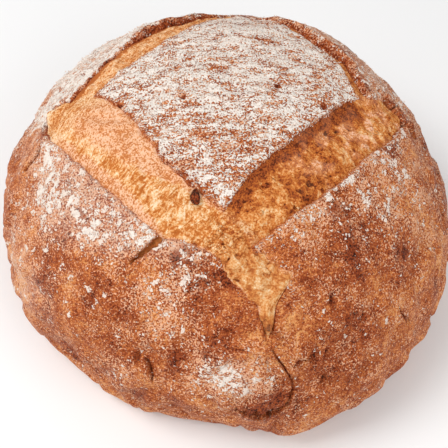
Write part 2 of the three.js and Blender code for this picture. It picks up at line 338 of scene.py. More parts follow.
def selectOnly(piece, kind, chosen):  # chosen holds true or false for each element of that kind
    bpy.ops.mesh.select_mode(type={"vertices": "VERT", "edges": "EDGE", "polygons": "FACE"}[kind])
    bpy.ops.mesh.select_all(action="DESELECT")
    objectMode()
    getattr(piece.data, kind).foreach_set("select", np.asarray(chosen, bool))
    bpy.ops.object.mode_set(mode="EDIT")


def readPlaces(piece):
    places = np.empty(len(piece.data.vertices) * 3, np.float32)
    piece.data.vertices.foreach_get("co", places)
    return places.reshape(-1, 3).astype(float)


def writePlaces(piece, places):
    piece.data.vertices.foreach_set("co", np.asarray(places, np.float32).ravel())
    piece.data.update()


def readEdges(piece):
    ends = np.empty(len(piece.data.edges) * 2, np.int32)
    piece.data.edges.foreach_get("vertices", ends)
    return ends.reshape(-1, 2)


def paint(piece, name, values):  # a number or a vector for each corner, which the materials read
    kind, part = ("FLOAT", "value") if np.ndim(values) == 1 else ("FLOAT_VECTOR", "vector")
    layer = piece.data.attributes.new(name, kind, "POINT")
    layer.data.foreach_set(part, np.asarray(values, np.float32).ravel())


def gridPiece(name, pLines, qLines):  # a grid whose lines lie at the places given
    bpy.ops.object.select_all(action="DESELECT")
    bpy.ops.mesh.primitive_grid_add(x_subdivisions=len(pLines) - 1, y_subdivisions=len(qLines) - 1, size=2)
    piece = bpy.context.object
    piece.name = name
    piece.data.name = name
    places = readPlaces(piece)
    across = np.rint((places[:, 0] + 1) / 2 * (len(pLines) - 1)).astype(int)
    up = np.rint((places[:, 1] + 1) / 2 * (len(qLines) - 1)).astype(int)
    writePlaces(piece, np.stack([np.array(pLines)[across], np.array(qLines)[up], np.zeros(len(places))], -1))
    return piece


def faceOutwards(piece):
    editMode(piece)
    bpy.ops.mesh.select_all(action="SELECT")
    bpy.ops.mesh.normals_make_consistent(inside=False)
    objectMode()


def shadeSmooth(piece):  # and prints how large the piece is
    bpy.ops.object.shade_smooth()
    triangles = sum(len(face.vertices) - 2 for face in piece.data.polygons)
    print(piece.name, len(piece.data.vertices), "corners", triangles, "triangles")


# Cracks in the crust, along points of bearing and height. Left is the side on the left on the way along.

cracks = [  # width, depth, lifts to the left and the right, pale crumb in the gap, wide at its start, path
    (4, 1.8, (0.6, 0.8), 0.5, True,  # left of the front plate
     [(-109, 106.5), (-111.2, 104.2), (-114, 100.8), (-117, 97.4), (-118.4, 94.6)]),
    (3.2, 3.6, (3.4, 0.2), 0.3, False,  # at the right rim
     [(15, 102), (12.3, 99.5), (9.3, 97.2), (4.2, 95.2), (2.4, 91.5), (2.3, 86)]),
    (2.4, 3, (0.8, 0.8), 0.4, False,  # at the left rim
     [(-175, 96), (-171, 94.5), (-170, 91), (-169.5, 86)]),
    (0.9, 1.2, (0.3, 1.2), 0, False,  # beside the blister
     [(-80, 77), (-76.5, 65), (-75, 56), (-75.4, 50)]),
    (1.5, 2.6, (3, 1.2), 0.1, False,  # under the blister
     [(-75.4, 53), (-76, 49.5), (-78, 44), (-80.5, 42), (-84, 42), (-88.5, 43)]),
    (1.3, 1.8, (1.2, 0), 0, False,  # fold on the front right
     [(-75.4, 65.6), (-70.5, 66), (-63.8, 65)]),
    (1, 1.2, (0.3, 0.3), 0.1, False,  # small and upright
     [(-67.5, 57), (-67.6, 50)]),
    (1.2, 1.7, (0.2, 0.9), 0.1, False,  # fold on the front left
     [(-112, 63.5), (-108.6, 62), (-106.7, 56), (-106.4, 51)]),
    (0.7, 0.4, (0.2, 0.2), 0, False,  # wrinkle over the blister
     [(-90, 75.8), (-86.7, 75.3), (-83, 75.3)]),
    (1.2, 1.2, (1.4, -0.4), 0.5, False,  # along the left flank
     [(-159, 56), (-155, 58.5), (-151, 61.5), (-147.5, 63.5), (-144, 64), (-140, 63)]),
    (0.9, 1.1, (0.3, 0.5), 0, False,  # low on the right
     [(-45, 67), (-44.4, 60), (-42.7, 50.5)]),
]
crackShape = {
    "samples": 90,  # places along a crack that distances are measured to
    "liftReach": 4,  # how far beside a crack its edges are lifted
    "ragged": (2.4, 0.7),  # spacing and size of the edges' unevenness
    "fullRagged": 3,  # width of a crack from which its edges have all of it
    "leastRagged": 0.3,
    "wall": (0.7, 0.2),  # from this share of the half width to this far past it
    "closed": (0.1, 0.4),  # half widths over which a crack opens
    "startPower": 0.6,  # how fast a crack that is wide at its start narrows
    "near": 14,  # distance beyond which a crack changes nothing
}
holes = [  # bearing, height, radius, depth
    (-62, 84.7, 1.6, 2.2), (-97.9, 72.1, 1.1, 1), (-103.7, 73.7, 0.8, 0.8), (-81.6, 52.5, 1, 0.8),
    (-79.2, 81.5, 2.2, 3), (-85.9, 98.3, 2.2, 2.5), (-73.9, 44.2, 2.4, 2),
    (-167.7, 121.3, 1.6, 1.2), (10.3, 120.6, 2, 1.1), (-6.6, 116.4, 2, 1.4), (-176, 115.8, 1.8, 1),
]
holeShape = {"ragged": 0.6, "wallFrom": 0.5}  # share of the cracks' unevenness, and of the radius


def pathPlaces(path):  # a crack's line on the smooth loaf, with normals
    along = np.linspace(0, len(path) - 1, crackShape["samples"])
    bearings, heights = (readCurve(list(enumerate(values)), along) for values in zip(*path))
    return skinPoint(bearings, heights)


def besideCrack(points, path):  # distance of each place from the crack, share along it, and place to its left
    line, normals = pathPlaces(path)
    across = np.cross(normals, np.gradient(line, axis=0))
    across /= np.linalg.norm(across, axis=1)[:, None]
    far, share, left = np.full(len(points), np.inf), np.zeros(len(points)), np.zeros(len(points))
    middle = line.mean(axis=0)
    reach = np.linalg.norm(line - middle, axis=1).max() + crackShape["near"]
    near = np.flatnonzero(np.linalg.norm(points - middle, axis=1) < reach)
    gaps = points[near][:, None] - line[None]
    sizes = np.linalg.norm(gaps, axis=2)
    best = sizes.argmin(axis=1)
    far[near] = sizes.min(axis=1)
    share[near] = best / (len(line) - 1)
    left[near] = np.sum(gaps[np.arange(len(near)), best] * across[best], axis=1)
    return far, share, left


def crackRelief(points):  # rise of the skin, share of gap and share of pale crumb in it
    rise, gap, pale = np.zeros((3, len(points)))
    wobble = uneven(points, crackShape["ragged"], 31)
    for width, depth, lifts, crumb, wideStart, path in cracks:
        far, share, left = besideCrack(points, path)
        ends = (1 - share) ** crackShape["startPower"] if wideStart else np.sqrt(np.sin(math.pi * share))
        half = width / 2 * ends
        far = far + wobble * np.clip(width / crackShape["fullRagged"], crackShape["leastRagged"], 1)
        wallFrom, wallPast = crackShape["wall"]
        opened = (1 - smooth(far, half * wallFrom, half + wallPast)) * smooth(half, *crackShape["closed"])
        lift = np.where(left > 0, *lifts) * np.exp(-np.maximum(far - half, 0) / crackShape["liftReach"])
        rise = rise + mix(lift * ends, -depth, opened) * (far < crackShape["near"])
        gap = np.maximum(gap, opened)
        pale = np.maximum(pale, opened * crumb)
    for bearing, height, radius, depth in holes:
        far = np.linalg.norm(points - skinPoint(bearing, height)[0], axis=1) + holeShape["ragged"] * wobble
        opened = 1 - smooth(far, radius * holeShape["wallFrom"], radius)
        rise = rise - depth * opened
        gap = np.maximum(gap, opened)
    return rise, gap, pale


# The crust, one closed skin: a crown of grid lines that follow the lips, a skirt of rings and the base

crustMesh = {
    "skinStep": 1.15,
    "lipStep": 0.55,  # beside a lip
    "lipZone": 4,
    "wallSteps": 5,
    "floorStep": 2.4,  # in the cuts, under the crumb
    "rings": 54,
    "baseRings": 5,
    "crackZone": 2.2,  # faces this close to a crack are split finer
    "crackCuts": 3,
}
plateau = {  # the floured square between the cuts
    "edges": {"frontLeft": (-0.4, 2.6, 1), "frontRight": (-0.4, 0.6, 0), "backLeft": (-1, 3, 1),
              "backRight": (-0.5, 2, 0)},  # distances in from a cut over which it begins, and how ragged
    "ragged": (6, 1.6),  # spacing and size of the edges' unevenness
    "wrinkle": (3, 0.45),  # spacing and height
    "wrinkleDraw": (0.3, 1, 1),  # they are drawn out along X
    "wrinkleSway": (13, 1.2),  # spacing and size
}
flourLook = {
    "least": 0.05,  # share of flour where nothing else is said
    "leftPlate": 0.4,
    "leftEdge": (-0.6, 0.6),  # distances out from the cut over which it begins
    "leftReach": [(-60, 68), (-46, 74), (-30, 87), (-10, 88), (2, 84), (15, 80), (26, 72),
                  (36, 66)],  # p and -q
    "leftFade": (6, -5),  # past that reach
    "leftEnds": ((-64, -52), (38, 28)),  # p
    "backFlank": 0.36,
    "flankBearings": (85, 110, 60),  # the middle, and degrees away from it over which the flour begins
    "flankHeights": (30, 75),
    "backLeft": 0.84,
    "backLeftEdge": (0.3, 1.4),
    "backLeftEnd": (-85, -30),  # q
    "bareEar": (6, (0, 10)),  # width of the bare lip, and q over which it begins
    "backRight": 0.45,
    "backRightEdge": (2, 6),
    "backRightEnd": (78, 20),  # p
    "backHeights": (42, 100),
    "stray": (18, 26),  # spacing and size of the uneven ends at the back
    "rightRim": 0.36,  # along the edge of the right plate
    "rimEdge": -0.5,
    "rimReach": 3,
    "rimEnds": 16,
    "plateau": 0.62,
    "plateauThin": 0.2,  # less of it towards the front and the right
    "thinFront": (0.7, (-20, 40)),  # share, and millimetres to the front
    "thinRight": (0.3, (10, 50)),
    "patches": [  # bearing, height, reach, amount
        (-134, 97, 6, 0.2), (-167, 101.8, 9, 0.15), (-150, 97, 8, 0.12), (-101.7, 99.7, 11, 0.25),
        (-95.3, 95.3, 8, 0.2), (-99.3, 103.5, 7, 0.22), (-104, 88, 11, 0.14), (-87.5, 61.3, 13, 0.45),
        (-80.5, 58, 4, 0.2), (-94, 60, 9, 0.3), (-90, 88, 10, -0.3), (-83, 50, 8, -0.15),
        (-115.2, 42.3, 9, 0.28), (-62.9, 106, 9, 0.22), (-44.7, 106, 15, 0.28), (-16.6, 100.6, 13, 0.24),
        (-20, 84, 18, 0.24), (-31, 97, 14, 0.26), (-73, 83, 12, -0.15), (-86, 84, 11, -0.12),
        (-160, 85, 18, 0.24), (-152, 58, 20, 0.38), (-120, 100, 16, 0.12), (-106, 92, 10, 0.14),
        (-110, 84, 10, 0.1), (-108, 76, 14, 0.1), (-95, 70, 16, 0.1), (-80, 70, 12, 0.12),
    ],
    "streaks": [(-0.9, 20.1), (-5.4, 15.2), (17.7, 36.7), (22.9, 16.1), (-8, -25.1)],  # brown, on the plateau
    "streakSize": (7, 1.4),
    "streakDepth": 0.45,
    "clumps": ((3.6, 0.5), (9, 0.4)),  # spacing and size
    "plateClumps": 0.45,
    "clumpsFrom": (0.1, 0.4),  # shares of flour over which clumps begin on the plates
    "plateauClumps": 0.32,
    "plateauWrinkles": 0.26,
    "haze": 0.36,  # thin flour between the clumps on the left and back plates
    "backRightHaze": 0.6,  # share of it there
    "hazePatches": [(-148, 56, 16, 0.4), (-88, 61, 9, 0.3)],
    "openClear": (0.05, 0.4),  # shares of a cut over which the flour ends
}
bakeLook = {
    "base": 0.5,
    "broad": (24, 0.24),  # spacing and size of its unevenness
    "spots": (7, 0.2),
    "patches": [  # bearing, height, reach, amount
        (-53.4, 94.3, 10, 0.15), (-36, 79, 10, 0.2), (-61, 75.4, 8, 0.2), (-86.8, 98, 6, 0.28),
        (-133.4, 83.4, 5, 0.25), (-125.8, 84.3, 7, 0.2), (-120, 88, 6, 0.2), (-123.9, 77.7, 7, 0.2),
        (178, 95.5, 6, 0.35), (-73, 85, 9, -0.28), (-71.5, 77.7, 8, -0.2), (-152, 55, 20, -0.36),
        (-151, 50, 9, -0.4), (-145, 56, 10, -0.2), (-129.6, 77, 14, -0.2), (-155, 84, 16, -0.06),
        (-140.5, 102.8, 20, 0.1), (-106, 72, 15, -0.06), (-88, 90, 12, 0.16), (-94, 103.2, 3, -0.3),
        (-89, 100.4, 3, -0.3), (-90.5, 97, 4, 0.14), (-100, 99, 11, 0.17), (-80, 71, 11, -0.2),
        (-25, 50, 26, -0.14), (-84, 50, 7, -0.04), (-50, 62, 20, -0.08),
    ],
    "broken": (5, 1.2, 0.75),  # spacing, swing and middle of the patches' strength
    "paleFoot": (0.1, (45, 10)),  # less bake low down, and the heights over which it begins
    "plateau": (0.52, 0.8),  # bake and share of it
    "ears": {"backLeft": (0.64, (-4, 8), (6, 4)),
             "backRight": (0.6, (50, 36), (4.5, 2.5))},  # bake, place along, and distances out where they end
    "earEdge": (-0.5, 0.5),
    "earMottle": (4, 0.16),  # spacing and size
    "walls": (0.34, 0.7),  # bake of pale and of dark sides of the cuts
    "wallFrom": (0.02, 0.35),  # shares of a cut over which its side begins
    "underPlateau": ((3, 2), (-42, -36), (54, 44)),  # distances from the right lip, and q at both ends
    "darkLeft": (44, 46),  # -p from which sides are dark
    "darkBack": (0.7, (54, 56)),  # share, and q
    "gap": 0.84,  # painted shade deep in the cracks and holes
}


def spread(low, high, step):
    count = max(1, round((high - low) / step))
    return list(np.linspace(low, high, count + 1)[:-1])


def crustLines(across):
    half, wall, zone = crown["half"], cutShape["lipWall"] / 2, crustMesh["lipZone"]
    skin, lip, floor = (crustMesh[name] for name in ("skinStep", "lipStep", "floorStep"))
    drop = 2 * wall / crustMesh["wallSteps"]
    lines, last = [], -half
    for low, high in sorted(cut["gridLips"] for cut in cuts.values() if cut["across"] == across):
        stops = [last, low - wall - zone, low - wall, low + wall]
        stops += [high - wall, high + wall, high + wall + zone]
        for start, end, step in zip(stops, stops[1:], (skin, lip, drop, floor, drop, lip)):
            lines += spread(start, end, step)
        last = stops[-1]
    return lines + spread(last, half, skin) + [half]


def hangSkirt(piece, rings):  # extrudes the open border down by one unit a ring
    editMode(piece)
    bpy.ops.mesh.select_mode(type="EDGE")
    bpy.ops.mesh.select_all(action="DESELECT")
    bpy.ops.mesh.select_non_manifold(extend=False, use_wire=False, use_boundary=True, use_multi_face=False,
                                     use_non_contiguous=False, use_verts=False)
    bpy.ops.mesh.extrude_region_move(TRANSFORM_OT_translate={"value": (0, 0, -rings)})
    objectMode()
    heights = readPlaces(piece)[readEdges(piece), 2]
    floor = heights.min()
    upright = (np.abs(heights[:, 0] - heights[:, 1]) > rings / 2) & (heights.min(axis=1) < floor + 0.5)
    bpy.ops.object.mode_set(mode="EDIT")
    selectOnly(piece, "edges", upright)
    bpy.ops.mesh.subdivide(number_cuts=rings - 1)
    objectMode()


def closeBase(piece):  # draws the lowest ring together into the middle of the base
    editMode(piece)
    heights = readPlaces(piece)[:, 2]
    selectOnly(piece, "vertices", heights < heights.min() + 0.5)
    bpy.ops.mesh.merge(type="CENTER")
    objectMode()


def splitNearCracks(piece):
    points = loafPlaces(readPlaces(piece))[0]
    near = np.zeros(len(points), bool)
    for width, *_, path in cracks:
        near |= besideCrack(points, path)[0] < width / 2 + crustMesh["crackZone"]
    chosen = [near[list(face.vertices)].all() for face in piece.data.polygons]
    editMode(piece)
    selectOnly(piece, "polygons", chosen)
    bpy.ops.mesh.subdivide(number_cuts=crustMesh["crackCuts"])
    objectMode()


def loafPlaces(template):  # where each corner of the flat template lies on the smooth loaf
    p, q, level = template[:, 0], template[:, 1], -template[:, 2]
    bearing, turn = crownPlace(p, q, cutShape["overhang"])
    down = np.clip(level / crustMesh["rings"], 0, 1)
    points, normals = smoothPoint(bearing, mix(turn, -1, down))
    shrink = np.clip((level - crustMesh["rings"]) / crustMesh["baseRings"], 0, 1)
    points[:, :2] *= (1 - shrink)[:, None]
    dieOut = 1 - smooth(down, 0, crown["borderFade"])
    return points, normals, dieOut


def plateauShare(points, within):  # 1 on the plateau
    wavy = uneven(points, plateau["ragged"], 53)
    share = 1
    for name, (start, end, ragged) in plateau["edges"].items():
        share = share * smooth(within[name] + ragged * wavy, start, end)
    return share


def plateFlour(points, p, q, past):  # flour outside the plateau, and where the haze lies
    east, north, up = points.T
    along, across = (east - north) / math.sqrt(2), (east + north) / math.sqrt(2)
    flour = np.full(len(points), flourLook["least"])
    reach = readCurve(flourLook["leftReach"], along)
    begin, end = flourLook["leftFade"]
    onLeft = smooth(past["frontLeft"], *flourLook["leftEdge"]) * smooth(-across, reach + begin, reach + end)
    for ends in flourLook["leftEnds"]:
        onLeft = onLeft * smooth(p, *ends)
    flour = flour + flourLook["leftPlate"] * onLeft
    middle, *away = flourLook["flankBearings"]
    atBack = smooth(np.abs(np.degrees(np.arctan2(north, east)) - middle), *away)
    flour = mix(flour, flourLook["backFlank"], atBack * smooth(up, *flourLook["flankHeights"]))
    stray = uneven(points, flourLook["stray"], 43, 3)
    high = smooth(up + stray, *flourLook["backHeights"])
    width, begins = flourLook["bareEar"]
    bare = width * smooth(q, *begins)
    behindLeft = smooth(past["backLeft"] - bare, *flourLook["backLeftEdge"]) * high
    behindLeft = behindLeft * smooth(across + stray, *flourLook["backLeftEnd"])
    flour = mix(flour, flourLook["backLeft"], behindLeft)
    behindRight = smooth(past["backRight"], *flourLook["backRightEdge"]) * high
    behindRight = behindRight * smooth(along + stray, *flourLook["backRightEnd"])
    flour = mix(flour, flourLook["backRight"], behindRight)
    rim = np.exp(-np.maximum(past["frontRight"], 0) / flourLook["rimReach"])
    rim = rim * (past["frontRight"] > flourLook["rimEdge"])
    rim = rim * alongCut(cuts["frontRight"], q, flourLook["rimEnds"])
    hazy = np.max([onLeft, behindLeft, flourLook["backRightHaze"] * behindRight], axis=0)
    return flour + flourLook["rightRim"] * rim, hazy


def flourShare(points, p, q, past, wrinkle, inPlateau):  # thin haze, and thick flour
    flour, hazy = plateFlour(points, p, q, past)
    east, north = points[:, 0], points[:, 1]
    front, frontSpan = flourLook["thinFront"]
    right, rightSpan = flourLook["thinRight"]
    thin = front * smooth(-north, *frontSpan) + right * smooth(east, *rightSpan)
    flour = mix(flour, flourLook["plateau"] - flourLook["plateauThin"] * thin, inPlateau)
    flour = flour + patches(points, flourLook["patches"])
    length, width = flourLook["streakSize"]
    for x, y in flourLook["streaks"]:
        far = ((east - x) / length) ** 2 + ((north - y) / width) ** 2
        flour = flour - flourLook["streakDepth"] * np.exp(-far) * inPlateau
    clumps = sum(uneven(points, look, 41 + k) for k, look in enumerate(flourLook["clumps"]))
    onPlates = flourLook["plateClumps"] * clumps * smooth(flour, *flourLook["clumpsFrom"])
    onPlateau = flourLook["plateauClumps"] * clumps + flourLook["plateauWrinkles"] * wrinkle
    haze = flourLook["haze"] * hazy + patches(points, flourLook["hazePatches"])
    return haze, flour + mix(onPlates, onPlateau, inPlateau)


def bakeShare(points, p, q, past, within, inPlateau, dieOut, opened, gap):  # how dark the crust is baked, with painted shade in the cracks and holes
    bake = bakeLook["base"] + uneven(points, bakeLook["broad"], 61) + uneven(points, bakeLook["spots"], 62, 3)
    spacing, swing, middle = bakeLook["broken"]
    bake = bake + patches(points, bakeLook["patches"]) * (middle + swing * field(points, spacing, 64, 3))
    paler, heights = bakeLook["paleFoot"]
    bake = bake - paler * smooth(points[:, 2], *heights)
    evenBake, share = bakeLook["plateau"]
    bake = mix(bake, evenBake, share * inPlateau)
    mottled = uneven(points, bakeLook["earMottle"], 63, 3)
    for name, (earBake, begins, ends) in bakeLook["ears"].items():
        along = placeIn(cuts[name], p, q)[0]
        ear = smooth(along, *begins) * smooth(past[name], *bakeLook["earEdge"]) * smooth(past[name], *ends)
        bake = mix(bake, earBake + mottled, ear * dieOut)
    beside, first, last = bakeLook["underPlateau"]
    underPlateau = smooth(np.abs(within["frontRight"]), *beside) * smooth(q, *first) * smooth(q, *last)
    share, begins = bakeLook["darkBack"]
    dark = np.max([underPlateau, smooth(-p, *bakeLook["darkLeft"]), share * smooth(q, *begins)], axis=0)
    bake = mix(bake, mix(*bakeLook["walls"], dark), smooth(opened, *bakeLook["wallFrom"]))
    # painted shade: the gaps of cracks and holes turn nearly black
    return np.maximum(bake, gap * bakeLook["gap"])


def makeCrust():
    piece = gridPiece("loafCrust", crustLines("p"), crustLines("q"))
    hangSkirt(piece, crustMesh["rings"])
    splitNearCracks(piece)
    hangSkirt(piece, crustMesh["baseRings"])
    closeBase(piece)
    template = readPlaces(piece)
    points, normals, dieOut = loafPlaces(template)
    p, q = template[:, 0], template[:, 1]
    past, within = besideCuts(p, q)
    opened = openShare(p, q) * dieOut
    inPlateau = plateauShare(points, within)
    drawn = points * plateau["wrinkleDraw"] + uneven(points, plateau["wrinkleSway"], 51)[:, None]
    spacing, height = plateau["wrinkle"]
    wrinkle = field(drawn, spacing, 52, 3)
    rise, gap, pale = crackRelief(points)
    skin = lipLift(p, q) * dieOut + rise + height * wrinkle * inPlateau
    relief = mix(skin, -cutShape["trench"], opened)
    haze, flour = flourShare(points, p, q, past, wrinkle, inPlateau)
    clear = (1 - smooth(opened, *flourLook["openClear"])) * (1 - gap)
    # the bake also carries the painted shade in the cracks and holes
    painted = {"flour": flour * clear, "haze": haze * clear, "torn": pale, "streaky": inPlateau,
               "bake": bakeShare(points, p, q, past, within, inPlateau, dieOut, opened, gap)}
    points = points + normals * (shapedSkin(points) + relief)[:, None]
    points[:, 2] = np.maximum(points[:, 2], 0)
    writePlaces(piece, points * mm)
    for name, values in painted.items():
        paint(piece, name, values)
    shadeSmooth(piece)
    return piece


loafCrust = makeCrust()


# The torn crumb that swells out of the cuts

crumbMesh = {
    "coarseStep": 2.0,
    "fineCuts": 4,
    "tuck": 3.5,  # how far it runs in under the lips
    "tuckSlope": 0.8,  # how steeply it goes down there
    "endTuck": 6,  # how far the cuts' ends count as under a lip
    "lipFade": 1,  # distance in from a lip at which a cut counts in full
    "thickness": 5,
    "reliefFrom": (-0.5, 1.5),  # distances in from the lips over which the relief begins
}
crumbForms = {
    "sway": (10, 2.6),  # spacing and size
    "rough": (2.2, 0.5),
    "tuft": (5, 0.5),  # spacing, and squash down the slope
    "layer": 7.5,  # spacing of the torn layers
    "layerBend": (6, 1.1),
    "layerSquash": 0.45,
    "layerJag": (2.6, 0.35),
    "fibre": (0.95, 0.2, 0.3),  # spacing, squash along the fibre, and share of the sway
    "crag": (3.6, 1),
    "knob": 6,
    "knobJag": (1.6, -1.6, 0.8),
    "flake": 3.4,
    "flakeLean": (0.8, 0.6),  # down the slope and beside it
    "flakeBend": (5, 1.6),
    "lump": (9, 0.9),
    "lumpShares": (0.3, 0.7),  # everywhere, and more where the crumb is ragged
    "grain": (1.1, 1),
    "grainHeight": 0.2,
    "skinStep": 0.45,  # how far the unbroken skin stands over the torn crumb
    "cellMiddle": 0.6,
    "ragged": {"tuft": (1, 1), "fold": (-0.2, -0.7), "layer": (0.45, 0.5),
               "fibre": (0.4, 0.7)},  # height, and the painted light and shade that follow it
    "craggy": {"crag": (0.6, 0.5), "knob": (1.8, 0.9), "cleft": (-0.5, -0.7), "flake": (0.5, 0.35)},
    "calmTail": (0.75, (72, 78)),  # less of both at the tail's end, from this p
    "pit": 3.4,  # spacing of the torn pits
    "pitFrom": (0.5, 0.62),
    "pitDepth": 1.3,
    "holes": [(43.6, 21.1, 1.5), (45.5, 26.5, 1.2), (56.3, 16.2, 1), (53, -3.5, 2), (56.4, -5.9, 1.3),
              (56.1, -10.5, 1.5), (60, -17, 1.4), (40.1, -57.8, 1.6), (64.7, -35.4, 1.4),
              (79.4, -54, 1.8)],  # p, q and radius
    "holeJag": (0.5, 1.2),  # by the grain and the crags
    "holeWall": 0.3,
    "lightAndShadeTone": -0.26,  # toast from the painted light on raised forms and painted shade in folds
    # painted shade in the pits and holes: darker, drabber, and deeper tones allowed
    "pitShade": {"toast": 0.3, "deepest": 0.4, "drab": 0.08},
}
crumbLook = {
    "edge": (5, 1.8),  # spacing and size of the uneven edges between its skins
    "patchy": (9, 1),  # spacing and size of the noise in its tones
    "mottled": (3.4, 1),
    "barely": 1e-6,  # weight where there is no cut
}
leftCrumb = {  # in the front left cut
    "upperSkin": [(-72, 19), (-26, 18.8), (-16, 16.8), (-3, 11.7), (7, 7.9), (16, 3.9), (24, 1.4), (89, 0.5)],
    "lowerSkin": [(-72, 4), (-29, 4), (-2, 5), (8, 5), (19, 3), (30, 0.5), (89, 0.5)],  # p and width
    "upperEdge": (1, 0.8, 1.2),  # share of the uneven edge, and of the width where it begins and ends
    "lowerEdge": (0.6, 0.7, 1.3),
    "tail": (48, 60),  # p over which the tail begins
    "ragged": [(-72, 0.2), (-35, 0.35), (-10, 0.7), (12, 0.9), (40, 0.7), (56, 0.35), (66, 0.08), (89, 0.08)],
    "evenSkin": 0.8,  # how much less ragged the skin is
    "craggy": (0.12, 0.7, (36, 56)),  # first share, what is added to it, and p over which it is
    "deepest": (0.64, 0.1, (36, 50)),
    "fibrous": (1, 0.15),  # before the tail and on it
    "evenFibres": (0.6, (-48, -34)),  # how much fewer the upper skin has, and from which p
    "drab": 0.1,  # on the tail
    "toast": 0.24,
    "upperToast": 0.06,
    "patchy": 0.14,
    "mottled": (0.24, 0.08),  # on the torn crumb and on its skin
    "toastRight": (0.12, (22, 38)),
    "toastTail": -0.01,
    "toastLeft": (-0.17, (34, 48)),  # from this -p
    "pinkFrom": (-52, -32),
    "grainy": (0.45, 1),  # on the torn crumb and on its skin
    "evenTail": 0.5,
}
rightCrumb = {  # in the front right cut
    "wallWidth": [(-54, 5), (20, 5), (32, 7), (44, 10), (78, 10)],  # q and width of the dark skin
    "wallEdge": 1.5,
    "wallEnds": ((-46, -30), (58, 50)),
    "ragged": 0.38,
    "craggy": 0.45,
    "deepest": 1,
    "fibrous": 0.2,
    "toast": 0.5,
    "patchy": 0.18,
    "mottled": 0.24,
    "golden": (-0.06, (-8, -26), (34, 46)),  # toast at both ends, and q over which they begin
    "stains": [(55.8, -20.5, 6, -0.08), (50.4, -20.9, 5, 0.1), (54.1, -9.7, 4, 0.16),
               (59.3, -10.2, 2.5, 0.2), (48.6, 8.9, 5, 0.08), (58.1, 11.5, 6, -0.08), (51.8, 29, 6, -0.1),
               (51.2, 48.6, 7, -0.16), (43.5, 41, 5, 0.2)],  # p, q, reach and toast
    "wallToast": 0.82,
    "pink": 1.5,
    "pinkPatches": (8, (-0.1, 0.25)),  # spacing, and the noise over which a patch begins
    "pinkFrom": (-12, 2),
    "wallPink": 0.6,  # how much less of it
    "grainy": 0.4,
}
backCrumb = {  # in the back left cut and the back right one
    "ragged": (0.4, 0.3),
    "craggy": (0.2, 0.3),
    "deepest": (0.7, 0.85),
    "fibrous": (0.8, 0.5),
    "toast": (0.3, 0.5),
    "patchy": (0.14, 0.1),
    "pink": (0.3, 0.2),
    "grainy": (0.6, 0.5),
}
backBand = {  # dark toast along the outer lip of the back left cut
    "toast": 0.5,
    "edge": 0.4,
    "width": (1.4, 3.4),
    "wider": (1.5, (-4, 8)),  # by this much, from this -q
}


def crumbParts(p, q):  # for each cut: its share of each place, and distances in from its outer and inner lips
    parts = {}
    for name, cut in cuts.items():
        along, across = placeIn(cut, p, q)
        ends = alongCut(cut, along, cutShape["endFade"])
        low, high = cut["gridLips"]
        share = (across - low) / (high - low)
        if abs(low) < abs(high):
            share = 1 - share
        lips = lipsAt(cut, along)
        width = lips[1] - lips[0]
        within = withinCut(cut, across)
        inside = np.where(within > 0, within * width / (high - low), within)
        parts[name] = {"opened": ends * smooth(within, -crumbMesh["tuck"], crumbMesh["lipFade"]),
                       "share": share, "outer": share * width, "inner": (1 - share) * width,
                       "swell": readCurve(cut["swell"], along),
                       "within": inside - crumbMesh["endTuck"] * (1 - ends) ** 2}
    return parts


def crumbHeight(parts):  # the crumb's smooth height over the loaf
    height, weight = 0, crumbLook["barely"]
    for name, part in parts.items():
        level = readCurve(cuts[name]["profile"], part["share"]) + part["swell"]
        height = height + part["opened"] * level
        weight = weight + part["opened"]
    inside = np.max([part["within"] for part in parts.values()], axis=0)
    return height / weight + np.minimum(inside, 0) * crumbMesh["tuckSlope"], inside


def skinEdge(distance, edge, width, look):  # 1 on a strip of unbroken skin
    share, begins, ends = look
    return 1 - smooth(distance + share * edge, begins * width, ends * width)


def leftTones(part, p, edge, patchy, mottled):
    look = leftCrumb
    upper = skinEdge(part["inner"], edge, readCurve(look["upperSkin"], p), look["upperEdge"])
    lower = skinEdge(part["outer"], edge, readCurve(look["lowerSkin"], p), look["lowerEdge"])
    skin = np.maximum(upper, lower)
    tail = smooth(p, *look["tail"])
    fewer, fewerFrom = look["evenFibres"]
    toast = look["toast"] + look["upperToast"] * upper + look["patchy"] * patchy
    toast = toast + mix(*look["mottled"], skin) * mottled + look["toastTail"] * tail
    for (amount, begins), along in ((look["toastRight"], p), (look["toastLeft"], -p)):
        toast = toast + amount * smooth(along, *begins)
    tones = {
        "ragged": readCurve(look["ragged"], p) * (1 - look["evenSkin"] * skin),
        "skin": skin,
        "fibrous": mix(*look["fibrous"], tail) * (1 - fewer * upper * smooth(p, *fewerFrom)),
        "drab": look["drab"] * tail,
        "toast": toast,
        "pink": skin * smooth(p, *look["pinkFrom"]),
        "grainy": mix(*look["grainy"], skin) * (1 - look["evenTail"] * tail),
    }
    for name in ("craggy", "deepest"):
        first, more, begins = look[name]
        tones[name] = first + more * smooth(p, *begins)
    return tones


def rightTones(part, points, p, q, edge, patchy, mottled):
    look = rightCrumb
    width = readCurve(look["wallWidth"], q)
    wall = 1 - smooth(part["inner"] + edge, width - look["wallEdge"], width + look["wallEdge"])
    for ends in look["wallEnds"]:
        wall = wall * smooth(q, *ends)
    paler, *ends = look["golden"]
    golden = np.max([smooth(q, *end) for end in ends], axis=0)
    toast = look["toast"] + look["patchy"] * patchy + look["mottled"] * mottled + paler * golden
    for stainP, stainQ, reach, amount in look["stains"]:
        toast = toast + amount * np.exp(-((p - stainP) ** 2 + (q - stainQ) ** 2) / reach ** 2)
    spacing, begins = look["pinkPatches"]
    pink = look["pink"] * smooth(field(points, spacing, 74), *begins) * smooth(q, *look["pinkFrom"])
    return {
        **{name: look[name] * (1 - wall) for name in ("ragged", "craggy", "fibrous")},
        "deepest": look["deepest"],
        "toast": mix(toast, look["wallToast"], wall),
        "pink": pink * (1 - look["wallPink"] * wall),
        "grainy": look["grainy"],
    }


